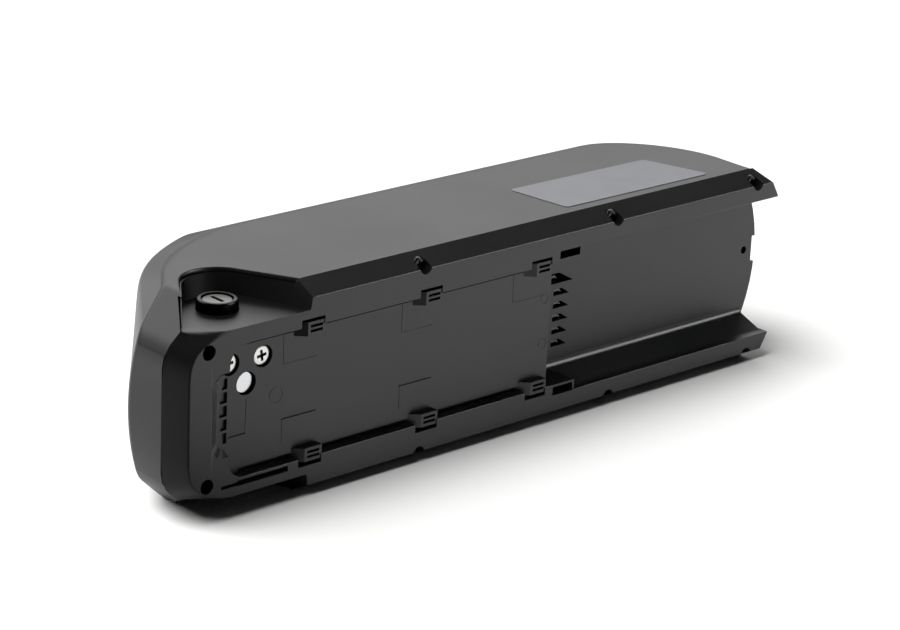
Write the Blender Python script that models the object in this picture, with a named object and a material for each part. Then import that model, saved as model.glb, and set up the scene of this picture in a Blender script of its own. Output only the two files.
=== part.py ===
"""Slide-on battery pack for an electric bicycle, lying on one flank."""

import math

import bmesh
import bpy
from mathutils import Matrix, Vector

# Case sizes, in metres. X runs from nose to tail, Y from mounting face to outer face, Z flank to flank.
CASE_LENGTH = 0.353
CASE_WIDTH = 0.090
CASE_DEPTH = 0.091
WALL = 0.0025
GAP = 0.0003

# Outline of the main shell: its middle, then its flanks
SEAM_DEPTH = 0.010
NOSE_SEAM_X = 0.002
NOSE_SEAM_CORNER = 0.013
NOSE_SEAM_RISE = 0.0235
NOSE_CORNER_Y = 0.0288
NOSE_SLOPE = math.radians(50.8)
NOSE_ROUND_SHARE = 0.33
NOSE_CORNER_RADIUS = 0.004
NOSE_BOW_RADIUS = 0.095
NOSE_BOW_REACH = 0.060
TAIL_RADIUS = 0.036
TAIL_BOW_RADIUS = 0.071
TAIL_BOW_REACH = 0.086
OUTER_BEVEL = 0.011
OUTER_BEVEL_DROP = 0.0046
NOSE_BEVEL_DROP = 0.0145
FLANK_NOSE_X = 0.0222
FLANK_NOSE_Y = 0.0357
FLANK_NOSE_SLOPE = math.radians(54.2)
FLANK_NOSE_ROUND_SHARE = 0.87
FLANK_TAIL_RADIUS = 0.050

# Mounting face
FACE_BEVEL = 0.005
FACE_NOSE_X = 0.0079
FACE_NOSE_RISE = 0.024
FACE_CORNER_X = 0.0125
FACE_CORNER_RISE = 0.0158
FACE_SHOULDER_X = 0.024
FACE_SHOULDER_RISE = 0.0108
CORNER_ROUND = 0.008
HOOK_BAY_START = 0.0275
HOOK_RIM_WIDTH = 0.0172
HOOK_BAY_DEPTH = 0.004
HOOK_BAY_CORNER = 0.008
PANEL_THICKNESS = 0.0035
RIM_GROOVE_WIDTH = 0.0021
RIM_GROOVE_DEPTH = 0.0018
STEP_START = 0.2055
DEEP_RIM_WIDTH = 0.0125
DEEP_BAY_DEPTH = 0.018
DEEP_BAY_FILLET = 0.0024
RIM_HOLLOW_FLOOR = 0.003
TAIL_NOTCH = 0.003
TAIL_NOTCH_LOW = -0.0045
TAIL_NOTCH_HIGH = 0.008
TAIL_HOLE_X = 0.0052
TAIL_HOLE_Z = 0.0021
TAIL_HOLE_RADIUS = 0.0018

# Keeper blocks
KEEPER_START = 0.067
KEEPER_PITCH = 0.063
KEEPER_COUNT = 3
KEEPER_LENGTH = 0.009
KEEPER_HEIGHT = 0.0058
KEEPER_REACH = 0.0039
KEEPER_RAMP = 0.0042
KEEPER_SET_BACK = 0.0004
KEEPER_POCKET_DEPTH = 0.0022
KEEPER_POCKET_BORDER = 0.0013
KEEPER_RIB = 0.0009
NOTCH_LEAD = 0.0036
NOTCH_CLEARANCE = 0.0016
NOTCH_DEPTH = 0.0044

# Corner pockets beside the step
CORNER_POCKET_LENGTH = 0.014
CORNER_POCKET_DEPTH = 0.010
CORNER_POCKET_WALL = 0.001

# Vent in the nose end of the face: a bowed ramp down to a row of shallow cells
VENT_START = 0.0188
VENT_BOW = 0.008
VENT_HALF = 0.0171
VENT_RAMP = 0.0065
VENT_FLOOR_BOW = 0.0034
VENT_DEPTH = 0.0038
VENT_CELLS = 5
VENT_CELL_PITCH = 0.0057
VENT_CELL_DEPTH = 0.0052
VENT_CELL_END = 0.0295
VENT_RIB = 0.0012

# Stepped slot in the lower rim beside the hook bay
SLOT_START = 0.0242
SLOT_STEP = 0.032
SLOT_END = 0.0581
SLOT_RISE = 0.0137
SLOT_WIDTH = 0.0024
SLOT_NARROW = 0.0014
SLOT_DEPTH = 0.0035

# Lock and charge recesses in the flanks
RECESS_DEPTH = 0.010
RECESS_NOSE = 0.0115
RECESS_NOSE_LEAN = math.radians(36.9)
RECESS_TAIL = 0.0686
RECESS_TAIL_LEAN = math.radians(27.8)
RECESS_FRONT_LEAN = math.radians(6.8)
RECESS_FLOOR_TAIL = 0.064
RECESS_FLOOR_LEAN = math.radians(19.8)
RECESS_FLOOR_ROUND = 0.0175
RECESS_ROUND = 0.015
TUB_WALL = 0.0022

# Seal between the shells
SEAL_WIDTH = 0.0016
SEAL_HEIGHT = 0.0012

# Case screws
TAIL_SCREW_INSET = 0.022
SCREW_PLACES = (0.129, 0.241, CASE_LENGTH - TAIL_SCREW_INSET)
SCREW_AXIS_INSET = 0.004
CORNER_SCREW_X = 0.017
CORNER_SCREW_RISE = 0.017
SCREW_HEAD_RADIUS = 0.0027
SCREW_HEAD_HEIGHT = 0.0022
SCREW_SHANK_RADIUS = 0.0014
SCREW_LENGTH = 0.014
SCREW_SEAT = 0.0065
BOSS_RADIUS = 0.0037
BOSS_LENGTH = 0.016
BOSS_RIB = 0.0018

# Lock
LOCK_X = 0.039
LOCK_Y = 0.023
LOCK_RING_RADIUS = 0.0085
LOCK_RING_PROUD = 0.0045
LOCK_CYLINDER_RADIUS = 0.0063
LOCK_BODY_HALF = 0.012
LOCK_BODY_BACK = 0.037
LOCK_BODY_LOW = 0.003
KEYWAY_LENGTH = 0.0075
KEYWAY_WIDTH = 0.0018
KEYWAY_DEPTH = 0.009
BOLT_RADIUS = 0.0043
BOLT_Z = 0.0093
BOLT_RECESS = 0.0015
BOLT_TRAVEL = 0.008
BOLT_SLIDER_HEIGHT = 0.0065
CAM_RADIUS = 0.0075
CAM_THICKNESS = 0.0022
CAM_LIFT = 0.0022
PIN_RADIUS = 0.0015
PIN_SLACK = 0.00045
LOCK_SCREW_SPREAD = 0.0083
LOCK_SCREW_Z = 0.0189
LOCK_SCREW_HEAD = 0.0041
LOCK_SCREW_HEAD_HEIGHT = 0.0013
LOCK_SCREW_SINK = 0.0022
LOCK_SCREW_SHANK = 0.0016
LOCK_SCREW_LENGTH = 0.009

# Contacts
CONTACT_COUNT = 6
CONTACT_PITCH = 0.0059
CONTACT_FIRST = 0.0124
CONTACT_FIRST_STEP = 0.0065
CONTACT_START = 0.2216
CONTACT_LENGTH = 0.0096
CONTACT_SLOT = 0.003
CONTACT_SLOT_FLAT = 0.0049
FIRST_SLOT_LEAD = 0.003
FIRST_SLOT_LENGTH = 0.0146
FIRST_SLOT_HEIGHT = 0.0048
FIRST_SLOT_FLAT = 0.0058
CONTACT_THICKNESS = 0.0009
CONTACT_BARB_X = 0.003
CONTACT_BARB_HEIGHT = 0.0016
TERMINAL_START = 0.210
TERMINAL_LENGTH = 0.026
TERMINAL_DEPTH = 0.0105
TERMINAL_BORDER = 0.004

# Cells
CELLS_IN_GROUP = 4
CELL_SIDES = 12
ROW_GROUPS = (3, 3, 3, 1)
ROW_SHIFTS = (1.0, 0.5, 0.0, 0.5)
ROW_NOSE_ROOM = 0.0794
ROW_TAIL_ROOM = 0.058
OUTER_ROW_INSET = 0.015
INNER_ROW_INSET = 0.025
CELL_END_ROOM = 0.0125
CELL_PITCH_SHARE = 0.4694
CELL_STEP_SHARE = 0.5412
STRIP_WIDTH = 0.008
STRIP_THICKNESS = 0.0003
HOLDER_THICKNESS = 0.004
HOLDER_BORDER = 0.002
HOLDER_SLACK = 0.0003
CELL_STAND_OUT = 0.001

# Protection board, leads and foam
BOARD_THICKNESS = 0.0016
BOARD_RISE = 0.027
BOARD_DROP = 0.0025
CHIP_SIZE = 0.006
CHIP_HEIGHT = 0.0025
CHIP_COUNT = 5
LEAD_RADIUS = 0.0016
LEAD_SPREAD = 0.008
LEAD_SAG = 0.0015
FOAM_CLEARANCE = 0.0015

# Charge socket
SOCKET_RADIUS = 0.006
SOCKET_FLANGE_RADIUS = 0.0085
SOCKET_FLANGE = 0.002
SOCKET_LENGTH = 0.016
SOCKET_BORE = 0.0035
SOCKET_BORE_DEPTH = 0.012
SOCKET_PIN_RADIUS = 0.001
NUT_RADIUS = 0.0095
NUT_HEIGHT = 0.003
CAP_RADIUS = 0.0092
CAP_THICKNESS = 0.002
CAP_HINGE_RADIUS = 0.0014
CAP_HINGE_LENGTH = 0.008
CAP_PLUG_RADIUS = 0.0029
CAP_PLUG_LENGTH = 0.002

# Places that follow from the sizes
HALF = CASE_WIDTH / 2
FLANK_DEPTH = CASE_DEPTH - OUTER_BEVEL
HOOK_BAY_HALF = HALF - HOOK_RIM_WIDTH
DEEP_BAY_HALF = HALF - DEEP_RIM_WIDTH
CORNER_SCREW_Z = HALF - CORNER_SCREW_RISE
BASE_TOP = SEAM_DEPTH - GAP
PANEL_BACK = HOOK_BAY_DEPTH + PANEL_THICKNESS
BAY_BACK = DEEP_BAY_DEPTH + WALL
RECESS_FLOOR = HALF - RECESS_DEPTH
LONGEST_ROW = max(ROW_GROUPS) * CELLS_IN_GROUP
CELL_PITCH = (CASE_LENGTH - ROW_NOSE_ROOM - ROW_TAIL_ROOM) / (LONGEST_ROW - 1)
ROW_STEP = (CASE_DEPTH - OUTER_ROW_INSET - INNER_ROW_INSET) / (len(ROW_GROUPS) - 1)
CELL_RADIUS = min(CELL_PITCH * CELL_PITCH_SHARE, ROW_STEP * CELL_STEP_SHARE)
CELL_LENGTH = CASE_WIDTH - 2 * CELL_END_ROOM
FOAM_HALF = CELL_LENGTH / 2 - CELL_STAND_OUT - HOLDER_THICKNESS - FOAM_CLEARANCE
ORIGIN = Vector((-CASE_LENGTH / 2, -CASE_DEPTH / 2, HALF))

BLACK_SATIN = ("satin_black_plastic", (0.012, 0.012, 0.013), 0.38, 0.0)
BLACK_MATT = ("matt_black_plastic", (0.010, 0.010, 0.011), 0.55, 0.0)
RUBBER = ("black_rubber", (0.008, 0.008, 0.008), 0.8, 0.0)
STEEL = ("zinc_plated_steel", (0.62, 0.62, 0.62), 0.3, 1.0)
CHROME = ("chromed_lock_metal", (0.72, 0.72, 0.73), 0.18, 1.0)
COPPER = ("tinned_copper", (0.75, 0.72, 0.66), 0.3, 1.0)
CELL_SLEEVE = ("cell_sleeve", (0.05, 0.22, 0.24), 0.5, 0.0)
HOLDER = ("cell_holder_plastic", (0.03, 0.03, 0.03), 0.6, 0.0)
BOARD = ("green_circuit_board", (0.01, 0.12, 0.04), 0.5, 0.0)
RED_LEAD = ("red_lead_sleeve", (0.45, 0.01, 0.01), 0.5, 0.0)
BLACK_LEAD = ("black_lead_sleeve", (0.01, 0.01, 0.01), 0.5, 0.0)
FOAM = ("grey_foam", (0.18, 0.18, 0.18), 0.95, 0.0)


def clear_scene():
    for item in list(bpy.data.objects):
        bpy.data.objects.remove(item)


def material(look):
    name, colour, roughness, metallic = look
    found = bpy.data.materials.get(name)
    if found:
        return found
    made = bpy.data.materials.new(name)
    made.use_nodes = True
    shader = made.node_tree.nodes["Principled BSDF"]
    shader.inputs["Base Color"].default_value = (*colour, 1.0)
    shader.inputs["Roughness"].default_value = roughness
    shader.inputs["Metallic"].default_value = metallic
    made.diffuse_color = (*colour, 1.0)
    return made


def raw_object(name, shape):
    bmesh.ops.recalc_face_normals(shape, faces=shape.faces)
    mesh = bpy.data.meshes.new(name)
    shape.to_mesh(mesh)
    shape.free()
    made = bpy.data.objects.new(name, mesh)
    bpy.context.scene.collection.objects.link(made)
    return made


def loft(name, rings):
    """A closed body through rings of equally many points, flat at both ends."""
    shape = bmesh.new()
    rows = [[shape.verts.new(point) for point in ring] for ring in rings]
    count = len(rows[0])
    for low, high in zip(rows, rows[1:]):
        for i in range(count):
            j = (i + 1) % count
            shape.faces.new((low[i], low[j], high[j], high[i]))
    shape.faces.new(rows[0])
    shape.faces.new(rows[-1])
    if len(rows) > 2:
        bmesh.ops.triangulate(shape, faces=shape.faces)
    return raw_object(name, shape)


def prism(points, axis, low, high, name="tool"):
    """A straight body: the outline is (x, z) along Y, (x, y) along Z and (y, z) along X."""
    placed = {
        "X": lambda u, v, w: (w, u, v),
        "Y": lambda u, v, w: (u, w, v),
        "Z": lambda u, v, w: (u, v, w),
    }[axis]
    return loft(name, [[placed(u, v, w) for u, v in points] for w in (low, high)])


def box(x, y, z, name="tool"):
    corners = [(x[0], y[0]), (x[1], y[0]), (x[1], y[1]), (x[0], y[1])]
    return prism(corners, "Z", z[0], z[1], name)


def circle(u, v, radius, sides, turn=0.0):
    step = 2 * math.pi / sides
    return [
        (u + radius * math.cos(turn + step * i), v + radius * math.sin(turn + step * i))
        for i in range(sides)
    ]


def rod(axis, u, v, radius, low, high, sides=24, name="tool"):
    return prism(circle(u, v, radius, sides), axis, low, high, name)


def combine(body, tool, operation):
    step = body.modifiers.new(operation.lower(), "BOOLEAN")
    step.operation = operation
    step.solver = "EXACT"
    step.object = tool
    graph = bpy.context.evaluated_depsgraph_get()
    result = bpy.data.meshes.new_from_object(body.evaluated_get(graph))
    before = body.data
    body.modifiers.remove(step)
    body.data = result
    bpy.data.meshes.remove(before)
    spent = tool.data
    bpy.data.objects.remove(tool)
    bpy.data.meshes.remove(spent)


def cut(body, *tools):
    for tool in tools:
        combine(body, tool, "DIFFERENCE")


def join(body, *tools):
    for tool in tools:
        combine(body, tool, "UNION")


def finish(body, look, pivot=(0.0, 0.0, 0.0)):
    """Gives the piece its material and moves its origin to the pivot."""
    pivot = Vector(pivot)
    body.data.transform(Matrix.Translation(-pivot))
    body.data.materials.clear()
    body.data.materials.append(material(look))
    body.location = pivot + ORIGIN
    for face in body.data.polygons:
        face.use_smooth = False
    return body


def span(low, high, side):
    """A stretch of Z on one side of the middle plane."""
    return (low, high) if side > 0 else (-high, -low)


def arc_corner(before, corner, after, radius, steps):
    """Points of the arc that rounds one corner of an outline."""
    corner = Vector(corner)
    back = (Vector(before) - corner).normalized()
    ahead = (Vector(after) - corner).normalized()
    half = back.angle(ahead) / 2
    reach = radius / math.tan(half)
    centre = corner + (back + ahead).normalized() * (radius / math.sin(half))
    start = corner + back * reach - centre
    end = corner + ahead * reach - centre
    turn = math.atan2(start.x * end.y - start.y * end.x, start.dot(end))
    points = []
    for i in range(steps + 1):
        angle = turn * i / steps
        x = start.x * math.cos(angle) - start.y * math.sin(angle)
        y = start.x * math.sin(angle) + start.y * math.cos(angle)
        points.append((centre.x + x, centre.y + y))
    return points


def rounded(corners, radii, steps):
    """An outline with each corner rounded; a radius of zero keeps the corner."""
    outline = []
    count = len(corners)
    for i, corner in enumerate(corners):
        if radii[i] <= 0:
            outline.append(tuple(corner))
            continue
        before = corners[i - 1]
        after = corners[(i + 1) % count]
        outline += arc_corner(before, corner, after, radii[i], steps)
    return outline


def bow(z):
    """How far the bowed tail falls back from its middle at a height."""
    return TAIL_BOW_RADIUS - math.sqrt(TAIL_BOW_RADIUS**2 - z**2)


def eased(share):
    share = min(max(share, 0.0), 1.0)
    return share * share * (3 - 2 * share)


def bowed(x, y, z):
    """A point of the case, drawn back with the bow of the tail."""
    share = eased((x - CASE_LENGTH + TAIL_BOW_REACH) / TAIL_BOW_REACH)
    return (x - bow(z) * share, y, z)


def nose_bowed(x, y, z):
    """A point of the middle of the case, drawn back with the bow of the nose too."""
    share = eased((NOSE_BOW_REACH - x) / NOSE_BOW_REACH)
    back = NOSE_BOW_RADIUS - math.sqrt(NOSE_BOW_RADIUS**2 - z**2)
    return bowed(x + back * share, y, z)


def seam_x(z):
    """Where the nose wall meets the seam at a height: flat, with round corners."""
    past = max(abs(z) - (HALF - NOSE_SEAM_RISE), 0.0)
    return NOSE_SEAM_X + NOSE_SEAM_CORNER - math.sqrt(NOSE_SEAM_CORNER**2 - past**2)


def flank_outline(first, nose, slope, top, share, tail_x, tail_radius):
    """Nose wall, nose slope, outer edge and tail wall seen square on to the flank."""
    length = (top - nose[1]) / math.sin(slope)
    high = (nose[0] + length * math.cos(slope), top)
    corner = (tail_x, top)
    last = (tail_x, first[1])
    radius = share * length / math.tan(slope / 2)
    outline = [first]
    outline += arc_corner(first, nose, high, NOSE_CORNER_RADIUS, 3)
    outline += arc_corner(nose, high, corner, radius, 10)
    outline += arc_corner(high, corner, last, tail_radius, 8)
    outline.append(last)
    return outline


def lowered(y, slope, inset):
    """The corner between the nose wall and the slope, for a surface further in."""
    return y - inset * (1 - math.sin(slope)) / math.cos(slope)


def case_rings(inset, start):
    """Rings of the main shell's outer or inner surface, from one flank to the other."""
    tail_x = CASE_LENGTH - inset
    middle = flank_outline(
        (NOSE_SEAM_X + inset, start), (inset, lowered(NOSE_CORNER_Y, NOSE_SLOPE, inset)),
        NOSE_SLOPE, CASE_DEPTH - inset, NOSE_ROUND_SHARE, tail_x, TAIL_RADIUS - inset,
    )
    nose = (FLANK_NOSE_X + inset, lowered(FLANK_NOSE_Y, FLANK_NOSE_SLOPE, inset))
    flank = flank_outline(
        (nose[0], start), nose, FLANK_NOSE_SLOPE, FLANK_DEPTH - inset, FLANK_NOSE_ROUND_SHARE,
        tail_x, FLANK_TAIL_RADIUS - inset,
    )
    drops = []
    for i in range(len(middle)):
        share = min(max((i - 4) / 10, 0.0), 1.0)
        drops.append(NOSE_BEVEL_DROP + (OUTER_BEVEL_DROP - NOSE_BEVEL_DROP) * share)
    height = HALF - inset
    rings = [[bowed(x, y, height) for x, y in flank]]
    steps = 4
    for i in range(steps, -steps - 1, -1):
        ring = []
        for (x, y), drop in zip(middle, drops):
            ring.append(nose_bowed(x, y, (height - drop) * i / steps))
        level = (height - NOSE_BEVEL_DROP) * i / steps
        ring[0] = (seam_x(level) + inset, start, level)
        rings.append(ring)
    rings.append([bowed(x, y, -height) for x, y in flank])
    return rings


def recess_outline(extra=0.0, start=-0.003):
    """Plan of the recess that holds the lock, or the charge socket, seen on the flank."""
    nose = RECESS_NOSE - extra / math.cos(RECESS_NOSE_LEAN)
    tail = RECESS_TAIL + extra / math.cos(RECESS_TAIL_LEAN)
    radius = RECESS_ROUND + extra
    return recess_plan(nose, tail, RECESS_TAIL_LEAN, RECESS_FRONT_LEAN, radius, start)


def recess_plan(nose, tail, tail_lean, front_lean, radius, start):
    """Nose side, round head and tail side of a recess; the tail side bends at the seam."""
    nose_slope = math.tan(RECESS_NOSE_LEAN)
    rise = start - SEAM_DEPTH
    peak = (tail - nose) / (nose_slope + math.tan(tail_lean))
    corners = [
        (nose + rise * nose_slope, start),
        (nose + peak * nose_slope, SEAM_DEPTH + peak),
        (tail, SEAM_DEPTH),
        (tail - rise * math.tan(front_lean), start),
    ]
    return rounded(corners, [0.0, radius, 0.0, 0.0], 12)


def recess_tool(side):
    """The hollow of a recess: its tail wall leans out from the floor to the rim."""
    start = -0.003
    rim = recess_outline(0.0, start)
    lean = RECESS_FLOOR_LEAN
    floor = recess_plan(RECESS_NOSE, RECESS_FLOOR_TAIL, lean, lean, RECESS_FLOOR_ROUND, start)
    rings = []
    for share in (0.0, 0.5, 1.0):
        z = side * (RECESS_FLOOR + (HALF - RECESS_FLOOR) * share)
        plan = [(a + (c - a) * share, b + (d - b) * share) for (a, b), (c, d) in zip(floor, rim)]
        rings.append([(x, y, z) for x, y in plan])
    rings.append([(x, y, side * (HALF + 0.004)) for x, y in rim])
    return loft("tool", rings)


def screw_places():
    """Where the case screws stand: (x, z) of each axis."""
    places = []
    for side in (1, -1):
        for x in SCREW_PLACES:
            places.append((x, side * (HALF - SCREW_AXIS_INSET)))
    for side in (1, -1):
        places.append((CORNER_SCREW_X, side * CORNER_SCREW_Z))
    return places


def make_main_shell():
    body = loft("main_shell", case_rings(0.0, SEAM_DEPTH))
    cut(body, loft("tool", case_rings(WALL, SEAM_DEPTH - 0.004)))
    for x, z in screw_places():
        start = SEAM_DEPTH + GAP
        join(body, rod("Y", x, z, BOSS_RADIUS, start, start + BOSS_LENGTH, 16))
    for side in (1, -1):
        start = seam_x(CORNER_SCREW_Z) + WALL * 0.6
        y = (SEAM_DEPTH + SEAL_HEIGHT + 2 * GAP, SEAM_DEPTH + BOSS_LENGTH * 0.7)
        z = span(CORNER_SCREW_Z - BOSS_RIB / 2, CORNER_SCREW_Z + BOSS_RIB / 2, side)
        join(body, box((start, CORNER_SCREW_X - SCREW_SHANK_RADIUS - GAP), y, z))
    for x, z in screw_places():
        reach = SCREW_SEAT + SCREW_LENGTH + 0.001
        cut(body, rod("Y", x, z, SCREW_SHANK_RADIUS + GAP, SEAM_DEPTH - 0.002, reach, 12))
    for side in (1, -1):
        plan = recess_outline(TUB_WALL + GAP, SEAM_DEPTH - 0.004)
        z = span(RECESS_FLOOR - WALL - GAP, HALF + 0.004, side)
        cut(body, prism(plan, "Z", *z))
    bay = DEEP_BAY_HALF + WALL + GAP
    x = (CASE_LENGTH - TAIL_BOW_REACH / 2, CASE_LENGTH + 0.004)
    cut(body, box(x, (SEAM_DEPTH - 0.004, BAY_BACK + GAP), (-bay, bay)))
    return finish(body, BLACK_SATIN)


def tail_edge(half, steps, inset=0.0):
    """Points of the bowed tail between two heights."""
    points = []
    for i in range(steps + 1):
        z = half - 2 * half * i / steps
        points.append((CASE_LENGTH - inset - bow(z), z))
    return points


def face_outline(nose_corners, tail_half):
    """Outline of the base shell seen square on to the mounting face."""
    upper = nose_corners + [(RECESS_TAIL, tail_half)]
    lower = [(x, -z) for x, z in upper]
    round_corners = [CORNER_ROUND, CORNER_ROUND, 0.0, 0.0]
    corners = upper + tail_edge(tail_half, 12) + lower[::-1]
    return rounded(corners, round_corners + [0.0] * 13 + round_corners[::-1], 6)


def keeper_xs():
    return [KEEPER_START + KEEPER_PITCH * i for i in range(KEEPER_COUNT)]


def make_base_shell():
    front = face_outline(
        [
            (FACE_NOSE_X, HALF - FACE_NOSE_RISE),
            (FACE_CORNER_X, HALF - FACE_CORNER_RISE),
            (FACE_SHOULDER_X, HALF - FACE_SHOULDER_RISE),
        ],
        HALF - FACE_BEVEL,
    )
    high = HALF - NOSE_BEVEL_DROP
    seam_corners = [(seam_x(high * share), high * share) for share in (0.75, 1.0)]
    seam = face_outline(seam_corners + [(FLANK_NOSE_X, HALF)], HALF)
    rings = [
        [(x, 0.0, z) for x, z in front],
        [(x, BASE_TOP, z) for x, z in seam],
    ]
    body = loft("base_shell", rings)
    add_bay_box(body)
    add_recess_tubs(body)
    hollow_back(body)
    cut_face(body)
    add_keepers(body)
    add_corner_pockets(body)
    cut_vent(body)
    cut_rim_slot(body)
    cut_fastener_holes(body)
    cut_contact_slots(body)
    return finish(body, BLACK_SATIN)


def add_bay_box(body):
    half = DEEP_BAY_HALF + WALL
    plan = tail_edge(half, 10, 2 * GAP)
    plan += [(STEP_START - WALL, -half), (STEP_START - WALL, half)]
    join(body, prism(plan, "Y", HOOK_BAY_DEPTH + 0.001, BAY_BACK))


def add_recess_tubs(body):
    """Walls and floor of both recesses, kept inside the skin of the case."""
    for side in (1, -1):
        plan = recess_outline(TUB_WALL, SEAM_DEPTH - 0.001)
        tub = prism(plan, "Z", *span(RECESS_FLOOR - WALL, HALF + 0.002, side))
        combine(tub, loft("tool", case_rings(2 * GAP, SEAM_DEPTH - 0.003)), "INTERSECT")
        join(body, tub)


def hollow_back(body):
    """The open back of the moulding: one pocket behind the panel and one in each rim."""
    floor = (PANEL_BACK, SEAM_DEPTH + 0.003)
    half = HOOK_BAY_HALF - WALL
    cut(body, box((HOOK_BAY_START, STEP_START - WALL - 0.002), floor, (-half, half)))
    low = DEEP_BAY_HALF + WALL + 0.001
    high = HALF - FACE_BEVEL + 0.0005
    first = RECESS_TAIL + 0.012
    edges = [first]
    for x in SCREW_PLACES:
        edges += [x - BOSS_RADIUS - 0.002, x + BOSS_RADIUS + 0.002]
    for start, end in zip(edges[0::2], edges[1::2]):
        for side in (1, -1):
            y = (RIM_HOLLOW_FLOOR, SEAM_DEPTH + 0.003)
            cut(body, box((start, end), y, span(low, high, side)))


def cut_face(body):
    """The shallow hook bay, the grooves along its rims, the deep bay and the flank recesses."""
    start = HOOK_BAY_START
    half = HOOK_BAY_HALF
    corners = [(start, -half), (start, half), (STEP_START + 0.001, half)]
    corners.append((STEP_START + 0.001, -half))
    plan = rounded(corners, [HOOK_BAY_CORNER, HOOK_BAY_CORNER, 0.0, 0.0], 5)
    cut(body, prism(plan, "Y", -0.004, HOOK_BAY_DEPTH))
    for side in (1, -1):
        x = (start + HOOK_BAY_CORNER, STEP_START + 0.001)
        y = (HOOK_BAY_DEPTH - 0.001, HOOK_BAY_DEPTH + RIM_GROOVE_DEPTH)
        cut(body, box(x, y, span(half - RIM_GROOVE_WIDTH, half - GAP, side)))
    deep = DEEP_BAY_HALF
    corners = [(-0.004, -deep), (-0.004, deep), (DEEP_BAY_DEPTH, deep), (DEEP_BAY_DEPTH, -deep)]
    section = rounded(corners, [0.0, 0.0, DEEP_BAY_FILLET, DEEP_BAY_FILLET], 5)
    cut(body, prism(section, "X", STEP_START, CASE_LENGTH + 0.004))
    through = (DEEP_BAY_DEPTH - 0.002, BAY_BACK + 0.002)
    notch = (CASE_LENGTH - TAIL_NOTCH, CASE_LENGTH + 0.004)
    cut(body, box(notch, through, (TAIL_NOTCH_LOW, TAIL_NOTCH_HIGH)))
    hole = CASE_LENGTH - TAIL_NOTCH - TAIL_HOLE_X
    cut(body, rod("Y", hole, TAIL_HOLE_Z, TAIL_HOLE_RADIUS, *through, 16))
    for side in (1, -1):
        cut(body, recess_tool(side))


def add_keepers(body):
    """Blocks that the cradle's hooks slide behind, each with a ramp, in a notch of the rim."""
    inner = HOOK_BAY_HALF - KEEPER_REACH
    outer = inner + KEEPER_HEIGHT
    front = KEEPER_SET_BACK
    back = HOOK_BAY_DEPTH + RIM_GROOVE_DEPTH + 0.0005
    ramp = KEEPER_RAMP * (back - front) / (HOOK_BAY_DEPTH - front)
    for x in keeper_xs():
        end = x + KEEPER_LENGTH
        for side in (1, -1):
            z = span(HOOK_BAY_HALF - 0.001, outer + NOTCH_CLEARANCE, side)
            cut(body, box((x - NOTCH_LEAD, end - 0.0005), (-0.004, NOTCH_DEPTH), z))
        plan = [(x, front), (x - ramp, back), (end, back), (end, front)]
        for side in (1, -1):
            join(body, prism(plan, "Z", *span(inner, outer, side)))
            cut_keeper_pocket(body, x, end, inner, outer, side)


def cut_keeper_pocket(body, x, end, inner, outer, side):
    low = inner + KEEPER_POCKET_BORDER
    high = outer - KEEPER_POCKET_BORDER
    middle = (low + high) / 2
    across = (x + KEEPER_POCKET_BORDER, end - KEEPER_POCKET_BORDER)
    deep = (-0.004, KEEPER_POCKET_DEPTH)
    cut(body, box(across, deep, span(low, middle - KEEPER_RIB / 2, side)))
    cut(body, box(across, deep, span(middle + KEEPER_RIB / 2, high, side)))


def add_corner_pockets(body):
    """Two small boxes in the corners of the deep bay next to the step."""
    end = STEP_START + CORNER_POCKET_LENGTH
    for side in (1, -1):
        low = HOOK_BAY_HALF + GAP
        z = span(low, DEEP_BAY_HALF + 0.001, side)
        y = (KEEPER_SET_BACK, DEEP_BAY_DEPTH + 0.001)
        join(body, box((STEP_START - 0.001, end), y, z))
        x = (STEP_START + CORNER_POCKET_WALL, end - CORNER_POCKET_WALL)
        z = span(low + CORNER_POCKET_WALL, DEEP_BAY_HALF + GAP, side)
        cut(body, box(x, (-0.004, CORNER_POCKET_DEPTH), z))


def vent_edge(z, share):
    """The bowed edge of the vent's ramp at a height, from its top, 0, to its foot, 1."""
    bend = VENT_BOW + (VENT_FLOOR_BOW - VENT_BOW) * share
    return VENT_START + VENT_RAMP * share + bend * (z / VENT_HALF) ** 2


def vent_ring(y, steps=12):
    """Outline of the ramp at a depth: it draws in as it goes deeper."""
    share = y / VENT_DEPTH
    half = VENT_HALF - share * (VENT_HALF - VENT_CELL_PITCH * VENT_CELLS / 2)
    ring = [(VENT_CELL_END, y, half), (VENT_CELL_END, y, -half)]
    for i in range(steps + 1):
        z = -half + 2 * half * i / steps
        ring.append((vent_edge(z, share), y, z))
    return ring


def cut_vent(body):
    """A bow-shaped vent: a ramp, then cells with thin ribs left between them."""
    depths = (-VENT_DEPTH / 4, VENT_DEPTH / 2, VENT_DEPTH)
    cut(body, loft("tool", [vent_ring(y) for y in depths]))
    for i in range(VENT_CELLS):
        low = VENT_CELL_PITCH * (i - VENT_CELLS / 2) + VENT_RIB / 2
        high = low + VENT_CELL_PITCH - VENT_RIB
        plan = [(VENT_CELL_END, high), (VENT_CELL_END, low)]
        for z in (low, (low + high) / 2, high):
            plan.append((vent_edge(z, 1.0) + GAP, z))
        cut(body, prism(plan, "Y", -0.004, VENT_CELL_DEPTH))


def cut_rim_slot(body):
    low = -HALF + SLOT_RISE
    cut(body, box((SLOT_STEP, SLOT_END), (-0.004, SLOT_DEPTH), (low, low + SLOT_WIDTH)))
    z = (low + GAP, low + GAP + SLOT_NARROW)
    cut(body, box((SLOT_START, SLOT_STEP + 0.001), (-0.004, SLOT_DEPTH - GAP), z))


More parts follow.
